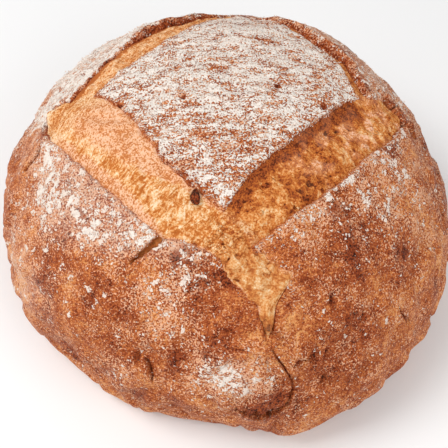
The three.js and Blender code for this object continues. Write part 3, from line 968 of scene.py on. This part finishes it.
def backTones(part, q, edge, patchy):
    left, right = ({name: values[k] for name, values in backCrumb.items()} for k in range(2))
    for tones in (left, right):
        tones["toast"] = tones["toast"] + tones["patchy"] * patchy
    wider, begins = backBand["wider"]
    distance = part["outer"] + backBand["edge"] * edge - wider * smooth(-q, *begins)
    left["toast"] = left["toast"] + backBand["toast"] * (1 - smooth(distance, *backBand["width"]))
    return left, right


def crumbTones(parts, points, p, q):  # what the crumb is like at each place, all as shares
    edge = uneven(points, crumbLook["edge"], 71, 3)
    patchy, mottled = uneven(points, crumbLook["patchy"], 72), uneven(points, crumbLook["mottled"], 73, 3)
    left = leftTones(parts["frontLeft"], p, edge, patchy, mottled)
    right = rightTones(parts["frontRight"], points, p, q, edge, patchy, mottled)
    each = (left, right, *backTones(parts["backLeft"], q, edge, patchy))
    weight = sum(part["opened"] for part in parts.values()) + crumbLook["barely"]
    tones = {}
    for name in left:  # mixed where cuts meet
        shares = (part["opened"] * one.get(name, 0) for part, one in zip(parts.values(), each))
        tones[name] = sum(shares) / weight
    return tones


def tornRelief(parts, points, p, q, tones):  # the relief, the light and shade painted from it, its pits and the way it is torn
    look = crumbForms
    right = parts["frontRight"]["opened"] * (1 - parts["frontLeft"]["opened"])
    down, beside = mix(-q, p, right), mix(p, q, right)  # down runs from the inner lip to the outer one
    flat = np.zeros_like(p)
    sway, rough = uneven(points, look["sway"], 81), uneven(points, look["rough"], 80)
    spacing, squash = look["tuft"]
    tuft, fold = cells(np.stack([beside + sway + rough, down * squash + rough, flat], -1), spacing, 80)
    bend = uneven(np.stack([beside, down * look["layerSquash"], flat], -1), look["layerBend"], 82)
    layer = stepped(down / look["layer"] + bend + uneven(points, look["layerJag"], 83))
    leanDown, leanBeside = look["flakeLean"]
    slant = (leanDown * down + leanBeside * beside) / look["flake"]
    flake = stepped(slant + uneven(points, look["flakeBend"], 92) + rough)
    spacing, squash, sways = look["fibre"]
    tear = np.stack([beside + sway, down * squash + sways * sway, flat], -1)
    fibre = field(tear, spacing, 84, 1)
    lump, grain = uneven(points, look["lump"], 85), uneven(points, look["grain"], 86)
    crag = uneven(points, look["crag"], 89)
    knob, cleft = cells(points + rough[:, None] * look["knobJag"], look["knob"], 90)
    pit = tones["craggy"] * smooth(field(points, look["pit"], 88, 3), *look["pitFrom"])
    byGrain, byCrag = look["holeJag"]
    east, north = points[:, 0], points[:, 1]
    for holeP, holeQ, radius in look["holes"]:
        far = np.hypot((east - north) / math.sqrt(2) - holeP, (east + north) / math.sqrt(2) - holeQ)
        far = far + byGrain * grain + byCrag * crag
        pit = np.maximum(pit, 1 - smooth(far, look["holeWall"] * radius, radius))
    less, begins = look["calmTail"]
    calm = 1 - less * smooth(p, *begins) * parts["frontLeft"]["opened"]
    forms = {"tuft": tuft - look["cellMiddle"], "fold": fold, "layer": layer, "fibre": fibre, "crag": crag,
             "knob": knob - look["cellMiddle"], "cleft": cleft, "flake": flake}
    everywhere, more = look["lumpShares"]
    relief = (everywhere + more * tones["ragged"] * calm) * lump + look["grainHeight"] * grain
    relief = relief - look["pitDepth"] * pit + look["skinStep"] * tones["skin"]
    # painted light on tufts, layers and flakes, painted shade in folds and clefts
    lightAndShade = 0
    for kind in ("ragged", "craggy"):
        for name, (height, lightShade) in look[kind].items():
            relief = relief + tones[kind] * calm * height * forms[name]
            lightAndShade = lightAndShade + tones[kind] * calm * lightShade * forms[name]
    return relief, lightAndShade, pit, tear


def crumbSkin(p, q):  # places on the torn crumb, and how they look
    points, normals = smoothPoint(*crownPlace(p, q))
    parts = crumbParts(p, q)
    height, inside = crumbHeight(parts)
    skin = crumbTones(parts, points, p, q)
    relief, lightAndShade, pit, tear = tornRelief(parts, points, p, q, skin)
    rise = shapedSkin(points) + height + smooth(inside, *crumbMesh["reliefFrom"]) * relief
    # painted light and shade from the relief pale and darken the crumb's tones
    skin["toast"] = skin["toast"] + crumbForms["lightAndShadeTone"] * lightAndShade
    # painted shade in the pits
    for name, amount in crumbForms["pitShade"].items():
        skin[name] = skin[name] + amount * pit
    return {**skin, "points": points, "normals": normals, "rise": rise, "inside": inside, "tear": tear}


crumbPaint = ("toast", "deepest", "pink", "drab", "grainy", "craggy", "fibrous", "tear")


def makeCrumb():
    lines = spread(-crown["half"], crown["half"], crumbMesh["coarseStep"]) + [crown["half"]]
    piece = gridPiece("tornCrumb", lines, lines)
    corners = np.array([list(face.vertices) for face in piece.data.polygons])
    template = readPlaces(piece)
    inside = crumbHeight(crumbParts(template[:, 0], template[:, 1]))[1]
    editMode(piece)
    selectOnly(piece, "polygons", inside[corners].max(axis=1) < -crumbMesh["tuck"])
    bpy.ops.mesh.delete(type="FACE")
    bpy.ops.mesh.select_all(action="SELECT")
    bpy.ops.mesh.extrude_region_move(TRANSFORM_OT_translate={"value": (0, 0, -1)})
    objectMode()
    heights = readPlaces(piece)[:, 2]
    lowest = np.array([heights[list(face.vertices)].min() for face in piece.data.polygons])
    bpy.ops.object.mode_set(mode="EDIT")
    selectOnly(piece, "polygons", lowest > -0.5)
    bpy.ops.mesh.subdivide(number_cuts=crumbMesh["fineCuts"])
    objectMode()
    faceOutwards(piece)
    template = readPlaces(piece)
    skin = crumbSkin(template[:, 0], template[:, 1])
    below = -template[:, 2]
    top = skin["points"] + skin["normals"] * skin["rise"][:, None]
    writePlaces(piece, (top - skin["normals"] * (below * crumbMesh["thickness"])[:, None]) * mm)
    for name in crumbPaint:
        paint(piece, name, skin[name])
    shadeSmooth(piece)
    return piece


tornCrumb = makeCrumb()


# Shreds of torn crumb: small tapered ribbons whose tips stand free

shreds = {
    "kinds": [  # count, p range, q range, length, half width, lift of the tip, bearing from p to q, spread
        (60, (36, 64), (-60, -40), (2, 4), (0.5, 1.3), 0.1, -60, 70),
        (45, (42, 60), (-38, 54), (2, 4.5), (0.7, 1.7), 0.15, 0, 60),
        (40, (-59, -49), (-40, 40), (1.5, 3), (0.4, 0.8), 0.3, 180, 50),
    ],
    "tries": 4,  # places tried for each shred
    "leastInside": 2,  # distance in from the lips
    "rings": 7,
    "taper": ((0, 0.3, 0.75, 1), (0.4, 1, 0.85, 0.1)),  # shares along, and of the half width
    "curl": 0.16,  # share of the length
    "bow": 1.2,  # half turns of the curl
    "tipSpread": (0.4, 1.3),  # shares of the lift
    "risen": 0.85,  # share along at which the lift is reached
    "thin": 0.3,  # thickness over half width
    "sunk": 0.4,
    "leastRagged": 0.2,  # of the crumb all along a shred
    "paler": 0.08,  # at the tips
    "toneSpread": 0.07,
    "seed": 11,
}


def scatterShreds(rng):  # paths over the template, and half widths and lifts along them
    along = np.linspace(0, 1, shreds["rings"])
    taper = np.interp(along, *shreds["taper"])
    bow = np.sin(along * math.pi * shreds["bow"])
    paths, widths, lifts = [], [], []
    for count, pRange, qRange, lengths, halves, lift, bearing, turn in shreds["kinds"]:
        p, q = (rng.uniform(*span, shreds["tries"] * count) for span in (pRange, qRange))
        place = crumbSkin(p, q)
        torn = rng.random(len(p)) < place["ragged"] ** 2
        kept = np.flatnonzero(torn & (place["inside"] > shreds["leastInside"]))[:count]
        angle = np.radians(bearing + rng.normal(0, turn / 2, len(kept)))[:, None]
        length = rng.uniform(*lengths, len(kept))
        curl = rng.normal(0, shreds["curl"], len(kept)) * length
        run, side = length[:, None] * along, curl[:, None] * bow
        paths.append(np.stack([p[kept, None] + run * np.cos(angle) - side * np.sin(angle),
                               q[kept, None] + run * np.sin(angle) + side * np.cos(angle)], -1))
        widths.append(rng.uniform(*halves, len(kept))[:, None] * taper)
        tip = lift * rng.uniform(*shreds["tipSpread"], len(kept))[:, None]
        lifts.append(mix(-shreds["sunk"], tip, smooth(along, 0, shreds["risen"])))
    return np.concatenate(paths), np.concatenate(widths), np.concatenate(lifts), along


def makeShreds():
    rng = np.random.default_rng(shreds["seed"])
    paths, widths, lifts, along = scatterShreds(rng)
    rings = shreds["rings"]
    place = crumbSkin(paths[..., 0].ravel(), paths[..., 1].ravel())
    onTorn = place["ragged"].reshape(-1, rings).min(axis=1) > shreds["leastRagged"]
    widths, lifts = widths[onTorn], lifts[onTorn]
    place = {name: values[np.repeat(onTorn, rings)] for name, values in place.items()}
    count = len(widths)
    normals = place["normals"].reshape(count, rings, 3)
    middle = (place["points"] + place["normals"] * place["rise"][:, None]).reshape(count, rings, 3)
    middle = middle + normals * lifts[..., None]
    side = np.cross(normals, np.gradient(middle, axis=1))
    side /= np.linalg.norm(side, axis=2, keepdims=True)
    wide = side * widths[..., None]
    thick = normals * (shreds["thin"] * widths)[..., None]
    corners = np.stack([middle - wide, middle + thick, middle + wide, middle - thick], axis=2)
    ring = np.arange(rings - 1)[:, None] * 4
    first, second = np.arange(4), (np.arange(4) + 1) % 4
    walls = np.stack([ring + first, ring + first + 4, ring + second + 4, ring + second], -1).reshape(-1, 4)
    ends = np.array([[0, 1, 2, 3], 4 * rings - np.arange(1, 5)])
    faces = np.concatenate([walls, ends])[None] + (np.arange(count) * rings * 4)[:, None, None]
    mesh = bpy.data.meshes.new("crumbShreds")
    mesh.from_pydata((corners.reshape(-1, 3) * mm).tolist(), [], faces.reshape(-1, 4).tolist())
    piece = bpy.data.objects.new("crumbShreds", mesh)
    bpy.context.scene.collection.objects.link(piece)
    paler = shreds["paler"] * along + rng.normal(0, shreds["toneSpread"], (count, 1))
    place["toast"] = place["toast"] - paler.ravel()
    for name in crumbPaint:
        paint(piece, name, np.repeat(place[name], 4, axis=0))
    faceOutwards(piece)
    shadeSmooth(piece)
    return piece


crumbShreds = makeShreds()


# The burnt scab of crust at the edge of the front left cut

scab = {
    "place": (-102.7, 112.9),  # bearing and height
    "radii": (2.1, 3.6, 1.7),  # along the lip, down the loaf and out of it
    "turn": 20,  # degrees, on the skin
    "furrows": (2, 0.3),  # spacing and depth
    "furrowDraw": (1, 0.35, 1),  # they are drawn out down the loaf
    "bake": 0.92,
    # painted shade in the furrows and painted light on the ridges
    "furrowShade": 0.25,
}


def makeScab():
    bpy.ops.object.select_all(action="DESELECT")
    bpy.ops.mesh.primitive_ico_sphere_add(subdivisions=4, radius=1)
    piece = bpy.context.object
    piece.name = "burntScab"
    ball = readPlaces(piece)
    spacing, depth = scab["furrows"]
    rough = field(ball * scab["radii"] * scab["furrowDraw"], spacing, 91)
    ball = ball * scab["radii"] * (1 + depth * rough)[:, None]
    centre, outwards = skinPoint(*scab["place"])
    downhill = np.cross(outwards, np.cross((0, 0, -1), outwards))
    downhill /= np.linalg.norm(downhill)
    beside = np.cross(downhill, outwards)
    angle = math.radians(scab["turn"])
    first = beside * math.cos(angle) + downhill * math.sin(angle)
    second = downhill * math.cos(angle) - beside * math.sin(angle)
    writePlaces(piece, (centre + ball @ np.stack([first, second, outwards])) * mm)
    # painted shade in the furrows, painted light on the ridges
    paint(piece, "bake", scab["bake"] - scab["furrowShade"] * rough)
    for name in ("flour", "haze", "torn", "streaky"):
        paint(piece, name, np.zeros(len(ball)))
    faceOutwards(piece)
    shadeSmooth(piece)
    return piece


burntScab = makeScab()


# Small clumps of flour that lie where it is thick

flourClumps = {
    "count": 6500,
    "sizes": (0.2, 0.5),  # radius
    "lumpy": (0.7, 1.3),  # shares of the radius
    "flat": 0.65,
    "sunk": 0.35,  # share of the radius that is in the crust
    "scatter": 0.35,
    "thick": (0.35, 0.4, 1.3),  # flour they begin at, span to where they are densest, and power of the rise
    "lowest": 12,
    "seed": 5,
}


def faceValues(piece, kind, width):
    values = np.empty(len(piece.data.polygons) * width, np.float32)
    piece.data.polygons.foreach_get(kind, values)
    return values.reshape(-1, width) if width > 1 else values


def makeFlour():
    bpy.ops.object.select_all(action="DESELECT")
    bpy.ops.mesh.primitive_ico_sphere_add(subdivisions=1, radius=1)
    piece = bpy.context.object
    piece.name = "flourGrains"
    ball = readPlaces(piece)
    faces = np.array([list(face.vertices) for face in piece.data.polygons])
    rng = np.random.default_rng(flourClumps["seed"])
    layer = loafCrust.data.attributes["flour"].data
    flour = np.empty(len(layer), np.float32)
    layer.foreach_get("value", flour)
    corner = np.array([face.vertices[0] for face in loafCrust.data.polygons])
    least, span, power = flourClumps["thick"]
    weight = faceValues(loafCrust, "area", 1) * np.clip((flour[corner] - least) / span, 0, 1) ** power
    centres = faceValues(loafCrust, "center", 3)
    weight = weight * (centres[:, 2] > flourClumps["lowest"] * mm)
    count = flourClumps["count"]
    chosen = rng.choice(len(weight), count, p=weight / weight.sum())
    normals = faceValues(loafCrust, "normal", 3)[chosen]
    centres = centres[chosen] / mm + rng.normal(0, flourClumps["scatter"], (count, 3))
    radius = mix(*flourClumps["sizes"], rng.random(count) ** 2)
    shapes = ball[None] * rng.uniform(*flourClumps["lumpy"], (count, len(ball), 1))
    upright = np.sum(shapes * normals[:, None], axis=2, keepdims=True)
    shapes = shapes - normals[:, None] * upright * (1 - flourClumps["flat"])
    centres = centres + normals * (radius * (1 - 2 * flourClumps["sunk"]) * flourClumps["flat"])[:, None]
    places = centres[:, None] + shapes * radius[:, None, None]
    corners = faces[None] + (np.arange(count) * len(ball))[:, None, None]
    mesh = bpy.data.meshes.new("flourGrains")
    mesh.from_pydata((places.reshape(-1, 3) * mm).tolist(), [], corners.reshape(-1, 3).tolist())
    oneBall, piece.data = piece.data, mesh
    bpy.data.meshes.remove(oneBall)
    shadeSmooth(piece)
    return piece


flourGrains = makeFlour()


# Finishes

finishes = {
    "crustTones": [(0.0, (0.8, 0.37, 0.135)), (0.25, (0.6, 0.19, 0.055)), (0.5, (0.38, 0.085, 0.023)),
                   (0.7, (0.26, 0.048, 0.013)), (0.85, (0.15, 0.025, 0.008)), (1.0, (0.045, 0.01, 0.005))],
    "dust": (0.83, 0.46, 0.28),  # flour baked into the crust
    "veil": (0.74, 0.49, 0.38),  # thin flour lying on it
    "cream": (0.87, 0.73, 0.63),  # flour beside the plateau
    "flour": (0.9, 0.82, 0.74),
    "crumbTones": [(0.0, (0.9, 0.67, 0.44)), (0.25, (0.76, 0.435, 0.195)), (0.45, (0.66, 0.255, 0.068)),
                   (0.65, (0.47, 0.13, 0.024)), (0.85, (0.3, 0.064, 0.018)), (1.0, (0.1, 0.022, 0.008))],
    "pink": (0.82, 0.47, 0.31),
    "drab": (0.46, 0.28, 0.14),
}


def addNode(tree, kind, values=None, links=None, **settings):
    made = tree.nodes.new("ShaderNode" + kind)
    for key, value in settings.items():
        setattr(made, key, value)
    for key, value in (values or {}).items():
        made.inputs[key].default_value = value
    for key, source in (links or {}).items():
        tree.links.new(source, made.inputs[key])
    return made


def toneRamp(tree, tones, source):
    ramp = addNode(tree, "ValToRGB", links={"Fac": source})
    stops = ramp.color_ramp.elements
    while len(stops) < len(tones):
        stops.new(0.5)
    for stop, (place, colour) in zip(stops, tones):
        stop.position = place
        stop.color = (*colour, 1)
    return ramp.outputs["Color"]


def mathNode(tree, kind, *values):  # each value is a socket or a number
    made = addNode(tree, "Math", operation=kind)
    for i, value in enumerate(values):
        if isinstance(value, (int, float)):
            made.inputs[i].default_value = value
        else:
            tree.links.new(value, made.inputs[i])
    return made.outputs[0]


def blend(tree, share, first, second):  # colours, each a socket or a plain colour
    made = addNode(tree, "Mix", data_type="RGBA")
    tree.links.new(share, made.inputs["Factor"])
    for name, value in (("A", first), ("B", second)):
        socket = [s for s in made.inputs if s.name == name and s.type == "RGBA"][0]
        if isinstance(value, tuple):
            socket.default_value = (*value, 1)
        else:
            tree.links.new(value, socket)
    return [s for s in made.outputs if s.type == "RGBA"][0]


def rangeNode(tree, source, low, high, newLow=0.0, newHigh=1.0):
    made = addNode(tree, "MapRange", {"From Min": low, "From Max": high, "To Min": newLow, "To Max": newHigh},
                   {"Value": source}, interpolation_type="SMOOTHSTEP")
    return made.outputs["Result"]


def readPaint(tree, name):
    return addNode(tree, "Attribute", attribute_name=name).outputs["Fac"]


breadNoise = {
    "roughness": 0.55,
    "plain": {"Broad": (120, 3), "Middle": (400, 3), "Fine": (1300, 1),
              "Grit": (1250, 2)},  # scale and detail
    "clumped": {"Clumps": (1, ((190, 2.1), (600, 1.7))),
                "Drifts": (0.4, ((300, 2.1), (700, 1.9)))},  # draw along X, then scales and weights
    "swing": (0.3, 0.7),  # noise from its lowest to its highest
}


def grainGroup():  # noise of several sizes, for every part of the bread
    tree = bpy.data.node_groups.new("breadGrain", "ShaderNodeTree")
    out = tree.nodes.new("NodeGroupOutput")
    place = addNode(tree, "TexCoord").outputs["Object"]

    def noiseOf(source, scale, detail):
        values = {"Scale": scale, "Detail": detail, "Roughness": breadNoise["roughness"]}
        return addNode(tree, "TexNoise", values, {"Vector": source}).outputs["Fac"]

    masks = {name: noiseOf(place, *size) for name, size in breadNoise["plain"].items()}
    for name, (draw, sizes) in breadNoise["clumped"].items():  # rounded clumps with thin gaps between them
        drawn = addNode(tree, "Mapping", {"Scale": (draw, 1, 1)}, {"Vector": place}).outputs["Vector"]
        masks[name] = 0.0
        for scale, part in sizes:
            swing = mathNode(tree, "ABSOLUTE", mathNode(tree, "SUBTRACT", noiseOf(drawn, scale, 1), 0.5))
            masks[name] = mathNode(tree, "MULTIPLY_ADD", swing, part, masks[name])
    for name, source in masks.items():
        tree.interface.new_socket(name, in_out="OUTPUT", socket_type="NodeSocketFloat")
        tree.links.new(source, out.inputs[name])
    return tree


breadGrain = grainGroup()


def newFinish(name):
    material = bpy.data.materials.new(name)
    material.use_nodes = True
    tree = material.node_tree
    made = addNode(tree, "Group", node_tree=breadGrain)
    return material, tree, tree.nodes["Principled BSDF"], made.outputs


def plus(tree, base, source, reach, mask=1.0):  # adds noise that swings by the reach either way
    swing = rangeNode(tree, source, *breadNoise["swing"], -reach, reach)
    return mathNode(tree, "MULTIPLY_ADD", swing, mask, base)


def plusAll(tree, base, noises, reaches):
    for name, reach in reaches.items():
        base = plus(tree, base, noises[name], reach)
    return base


def addBump(tree, shader, height, strength, distance):
    bump = addNode(tree, "Bump", {"Strength": strength, "Distance": distance}, {"Height": height})
    tree.links.new(bump.outputs["Normal"], shader.inputs["Normal"])


crustShade = {  # ranges are from low and high to their new values
    "tone": {"Middle": 0.14, "Fine": 0.2},
    "dustNoise": {"Broad": 0.06},
    "dustByFlour": 0.25,
    "dust": (0.592, 0.632),
    "dustByBake": (0.58, 0.76, 0.9, 0.05),
    "haze": (0.4, 0.48, 0.1, 1.0),
    "plates": ("Clumps", 1.4, {"Fine": 0.1, "Grit": 0.12}, (0.99, 1.09, 0.0, 0.95)),
    "plateau": ("Drifts", 0.7, {"Fine": 0.2, "Grit": 0.26}, (0.67, 0.79, 0.0, 0.97)),
    "white": (0.5, 0.7),  # flour over which it turns from cream to white
    "tornTone": (0.3, 0.7, 0.45, 0.7),
    "roughness": (0.0, 1.0, 0.5, 0.95),
    "specular": 0.08,
    "flourBump": 0.35,
    "middleBump": 2.0,
    "bump": (1.0, 0.0009),  # strength and distance
}


def crustFinish():
    material, tree, shader, noises = newFinish("crust")
    bake, flour, onPlateau = (readPaint(tree, name) for name in ("bake", "flour", "streaky"))
    colour = toneRamp(tree, finishes["crustTones"], plusAll(tree, bake, noises, crustShade["tone"]))
    dusty = plusAll(tree, noises["Grit"], noises, crustShade["dustNoise"])
    dusty = mathNode(tree, "MULTIPLY_ADD", flour, crustShade["dustByFlour"], dusty)
    dusty = mathNode(tree, "MULTIPLY", rangeNode(tree, dusty, *crustShade["dust"]),
                     rangeNode(tree, bake, *crustShade["dustByBake"]))
    colour = blend(tree, dusty, colour, finishes["dust"])
    hazy = mathNode(tree, "MULTIPLY", readPaint(tree, "haze"),
                    rangeNode(tree, noises["Grit"], *crustShade["haze"]))
    colour = blend(tree, hazy, colour, finishes["veil"])
    layers = []
    for clumps, size, reaches, band in (crustShade["plates"], crustShade["plateau"]):
        laid = mathNode(tree, "MULTIPLY_ADD", noises[clumps], size, flour)
        layers.append(rangeNode(tree, plusAll(tree, laid, noises, reaches), *band))
    links = {"Factor": onPlateau, "A": layers[0], "B": layers[1]}
    covered = addNode(tree, "Mix", links=links).outputs["Result"]
    white = mathNode(tree, "MAXIMUM", onPlateau, rangeNode(tree, flour, *crustShade["white"]))
    colour = blend(tree, covered, colour, blend(tree, white, finishes["cream"], finishes["flour"]))
    torn = toneRamp(tree, finishes["crumbTones"], rangeNode(tree, noises["Middle"], *crustShade["tornTone"]))
    colour = blend(tree, readPaint(tree, "torn"), colour, torn)
    tree.links.new(colour, shader.inputs["Base Color"])
    tree.links.new(rangeNode(tree, covered, *crustShade["roughness"]), shader.inputs["Roughness"])
    shader.inputs["Specular IOR Level"].default_value = crustShade["specular"]
    height = mathNode(tree, "MULTIPLY_ADD", covered, crustShade["flourBump"], noises["Fine"])
    height = mathNode(tree, "MULTIPLY_ADD", noises["Middle"], crustShade["middleBump"], height)
    addBump(tree, shader, height, *crustShade["bump"])
    return material


crumbShade = {
    "tone": {"Middle": 0.07, "Fine": 0.12},
    "craggyTone": 0.08,
    "flecks": {"Grit": (0.46, 0.58, -0.1, 0.3), "Middle": (0.54, 0.64, -0.02, 0.14)},
    "fibres": (1.2, 3.0),  # scale and detail
    "bends": (0.42, 2.0),
    "fibreRoughness": 0.6,
    "fibreTone": 0.2,
    # painted shade in thin creases among the fibres
    "creaseShade": (0.0, 0.035, 0.22, 0.0),
    "pinkByTone": (0.26, 0.5, 0.75, 0.1),
    "roughness": 0.75,
    "specular": 0.06,
    "gritBump": 0.5,
    "bump": (0.9, 0.0005),
}


def crumbFinish():
    material, tree, shader, noises = newFinish("crumb")
    grainy, fibrous = readPaint(tree, "grainy"), readPaint(tree, "fibrous")
    tear = addNode(tree, "Attribute", attribute_name="tear").outputs["Vector"]

    def fibreNoise(scale, detail):
        values = {"Scale": scale, "Detail": detail, "Roughness": crumbShade["fibreRoughness"]}
        return addNode(tree, "TexNoise", values, {"Vector": tear}).outputs["Fac"]

    fibres, bends = fibreNoise(*crumbShade["fibres"]), fibreNoise(*crumbShade["bends"])
    # painted shade: thin crease lines darken the crumb's tone
    middle = mathNode(tree, "ABSOLUTE", mathNode(tree, "SUBTRACT", bends, 0.5))
    creaseShade = rangeNode(tree, middle, *crumbShade["creaseShade"])
    tone = plusAll(tree, readPaint(tree, "toast"), noises, crumbShade["tone"])
    tone = plus(tree, tone, noises["Middle"], crumbShade["craggyTone"], readPaint(tree, "craggy"))
    for name, band in crumbShade["flecks"].items():
        tone = mathNode(tree, "MULTIPLY_ADD", rangeNode(tree, noises[name], *band), grainy, tone)
    tone = plus(tree, tone, fibres, crumbShade["fibreTone"], fibrous)
    tone = mathNode(tree, "MULTIPLY_ADD", creaseShade, fibrous, tone)
    tone = mathNode(tree, "MINIMUM", tone, readPaint(tree, "deepest"))
    colour = toneRamp(tree, finishes["crumbTones"], tone)
    pink = rangeNode(tree, tone, *crumbShade["pinkByTone"])
    pink = mathNode(tree, "MULTIPLY", readPaint(tree, "pink"), pink)
    colour = blend(tree, pink, colour, finishes["pink"])
    colour = blend(tree, readPaint(tree, "drab"), colour, finishes["drab"])
    tree.links.new(colour, shader.inputs["Base Color"])
    shader.inputs["Roughness"].default_value = crumbShade["roughness"]
    shader.inputs["Specular IOR Level"].default_value = crumbShade["specular"]
    grit = mathNode(tree, "MULTIPLY", noises["Grit"], crumbShade["gritBump"])
    height = mathNode(tree, "MULTIPLY_ADD", grit, grainy, noises["Middle"])
    height = mathNode(tree, "MULTIPLY_ADD", fibres, fibrous, height)
    addBump(tree, shader, height, *crumbShade["bump"])
    return material


flourShade = {"veil": (0.35, 0.65, 0.1, 0.6), "roughness": 0.95, "specular": 0.1}


def flourFinish():
    material, tree, shader, noises = newFinish("flour")
    veiled = rangeNode(tree, noises["Middle"], *flourShade["veil"])
    tree.links.new(blend(tree, veiled, finishes["flour"], finishes["veil"]), shader.inputs["Base Color"])
    shader.inputs["Roughness"].default_value = flourShade["roughness"]
    shader.inputs["Specular IOR Level"].default_value = flourShade["specular"]
    return material


looks = {"crust": (crustFinish(), (loafCrust, burntScab)), "crumb": (crumbFinish(), (tornCrumb, crumbShreds)),
         "flour": (flourFinish(), (flourGrains,))}
for slotName, (material, pieces) in looks.items():
    for piece in pieces:
        piece.data.materials.append(material)
        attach(piece, "root")
        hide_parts("loaf")
print("finishes ready")


# Floor, light and camera

studio = {
    "floorSize": 4.0,
    "floorColour": (0.9, 0.9, 0.9),
    "floorRoughness": 0.9,
    "world": 0.55,
    "lamps": [("key", (-0.55, -0.1, 0.95), 0.5, 6.1), ("fill", (0.6, -0.65, 0.6), 0.7, 3.6),
              ("side", (-0.9, -0.35, 0.3), 0.5, 1.4)],  # place, size, power
    "lampTarget": (0, 0, 0.05),
    "eyeTarget": (0, -12.65, 37.95),
    "eyeDistance": 414,
    "eyeElevation": 55,
    "lens": 64.93,
    "sensor": 36,
    "nearest": 0.01,
}


def floorFinish():
    material = bpy.data.materials.new("floor")
    material.use_nodes = True
    shader = material.node_tree.nodes["Principled BSDF"]
    shader.inputs["Base Color"].default_value = (*studio["floorColour"], 1)
    shader.inputs["Roughness"].default_value = studio["floorRoughness"]
    return material


def makeStudio():
    bpy.ops.object.select_all(action="DESELECT")
    bpy.ops.mesh.primitive_plane_add(size=studio["floorSize"])
    floor = bpy.context.object
    floor.name = "floor"
    floor.data.materials.append(floorFinish())
    world = bpy.data.worlds.new("studio")
    world.use_nodes = True
    sky = world.node_tree.nodes["Background"]
    sky.inputs["Color"].default_value = (1, 1, 1, 1)
    sky.inputs["Strength"].default_value = studio["world"]
    bpy.context.scene.world = world
    bpy.context.scene.view_settings.view_transform = "Standard"
    for name, place, size, power in studio["lamps"]:
        lamp = bpy.data.lights.new(name, "AREA")
        lamp.size = size
        lamp.energy = power
        holder = bpy.data.objects.new(name, lamp)
        bpy.context.scene.collection.objects.link(holder)
        holder.location = place
        aim = Vector(studio["lampTarget"]) - Vector(place)
        holder.rotation_euler = aim.to_track_quat("-Z", "Y").to_euler()
    target = Vector(studio["eyeTarget"]) * mm
    lookUp = math.radians(studio["eyeElevation"])
    back = Vector((0, -math.cos(lookUp), math.sin(lookUp)))
    lens = bpy.data.cameras.new("camera")
    lens.lens = studio["lens"]
    lens.sensor_width = studio["sensor"]
    lens.clip_start = studio["nearest"]
    camera = bpy.data.objects.new("camera", lens)
    bpy.context.scene.collection.objects.link(camera)
    camera.location = target + back * studio["eyeDistance"] * mm
    camera.rotation_euler = (-back).to_track_quat("-Z", "Y").to_euler()
    bpy.context.scene.camera = camera
    print("studio ready")


makeStudio()
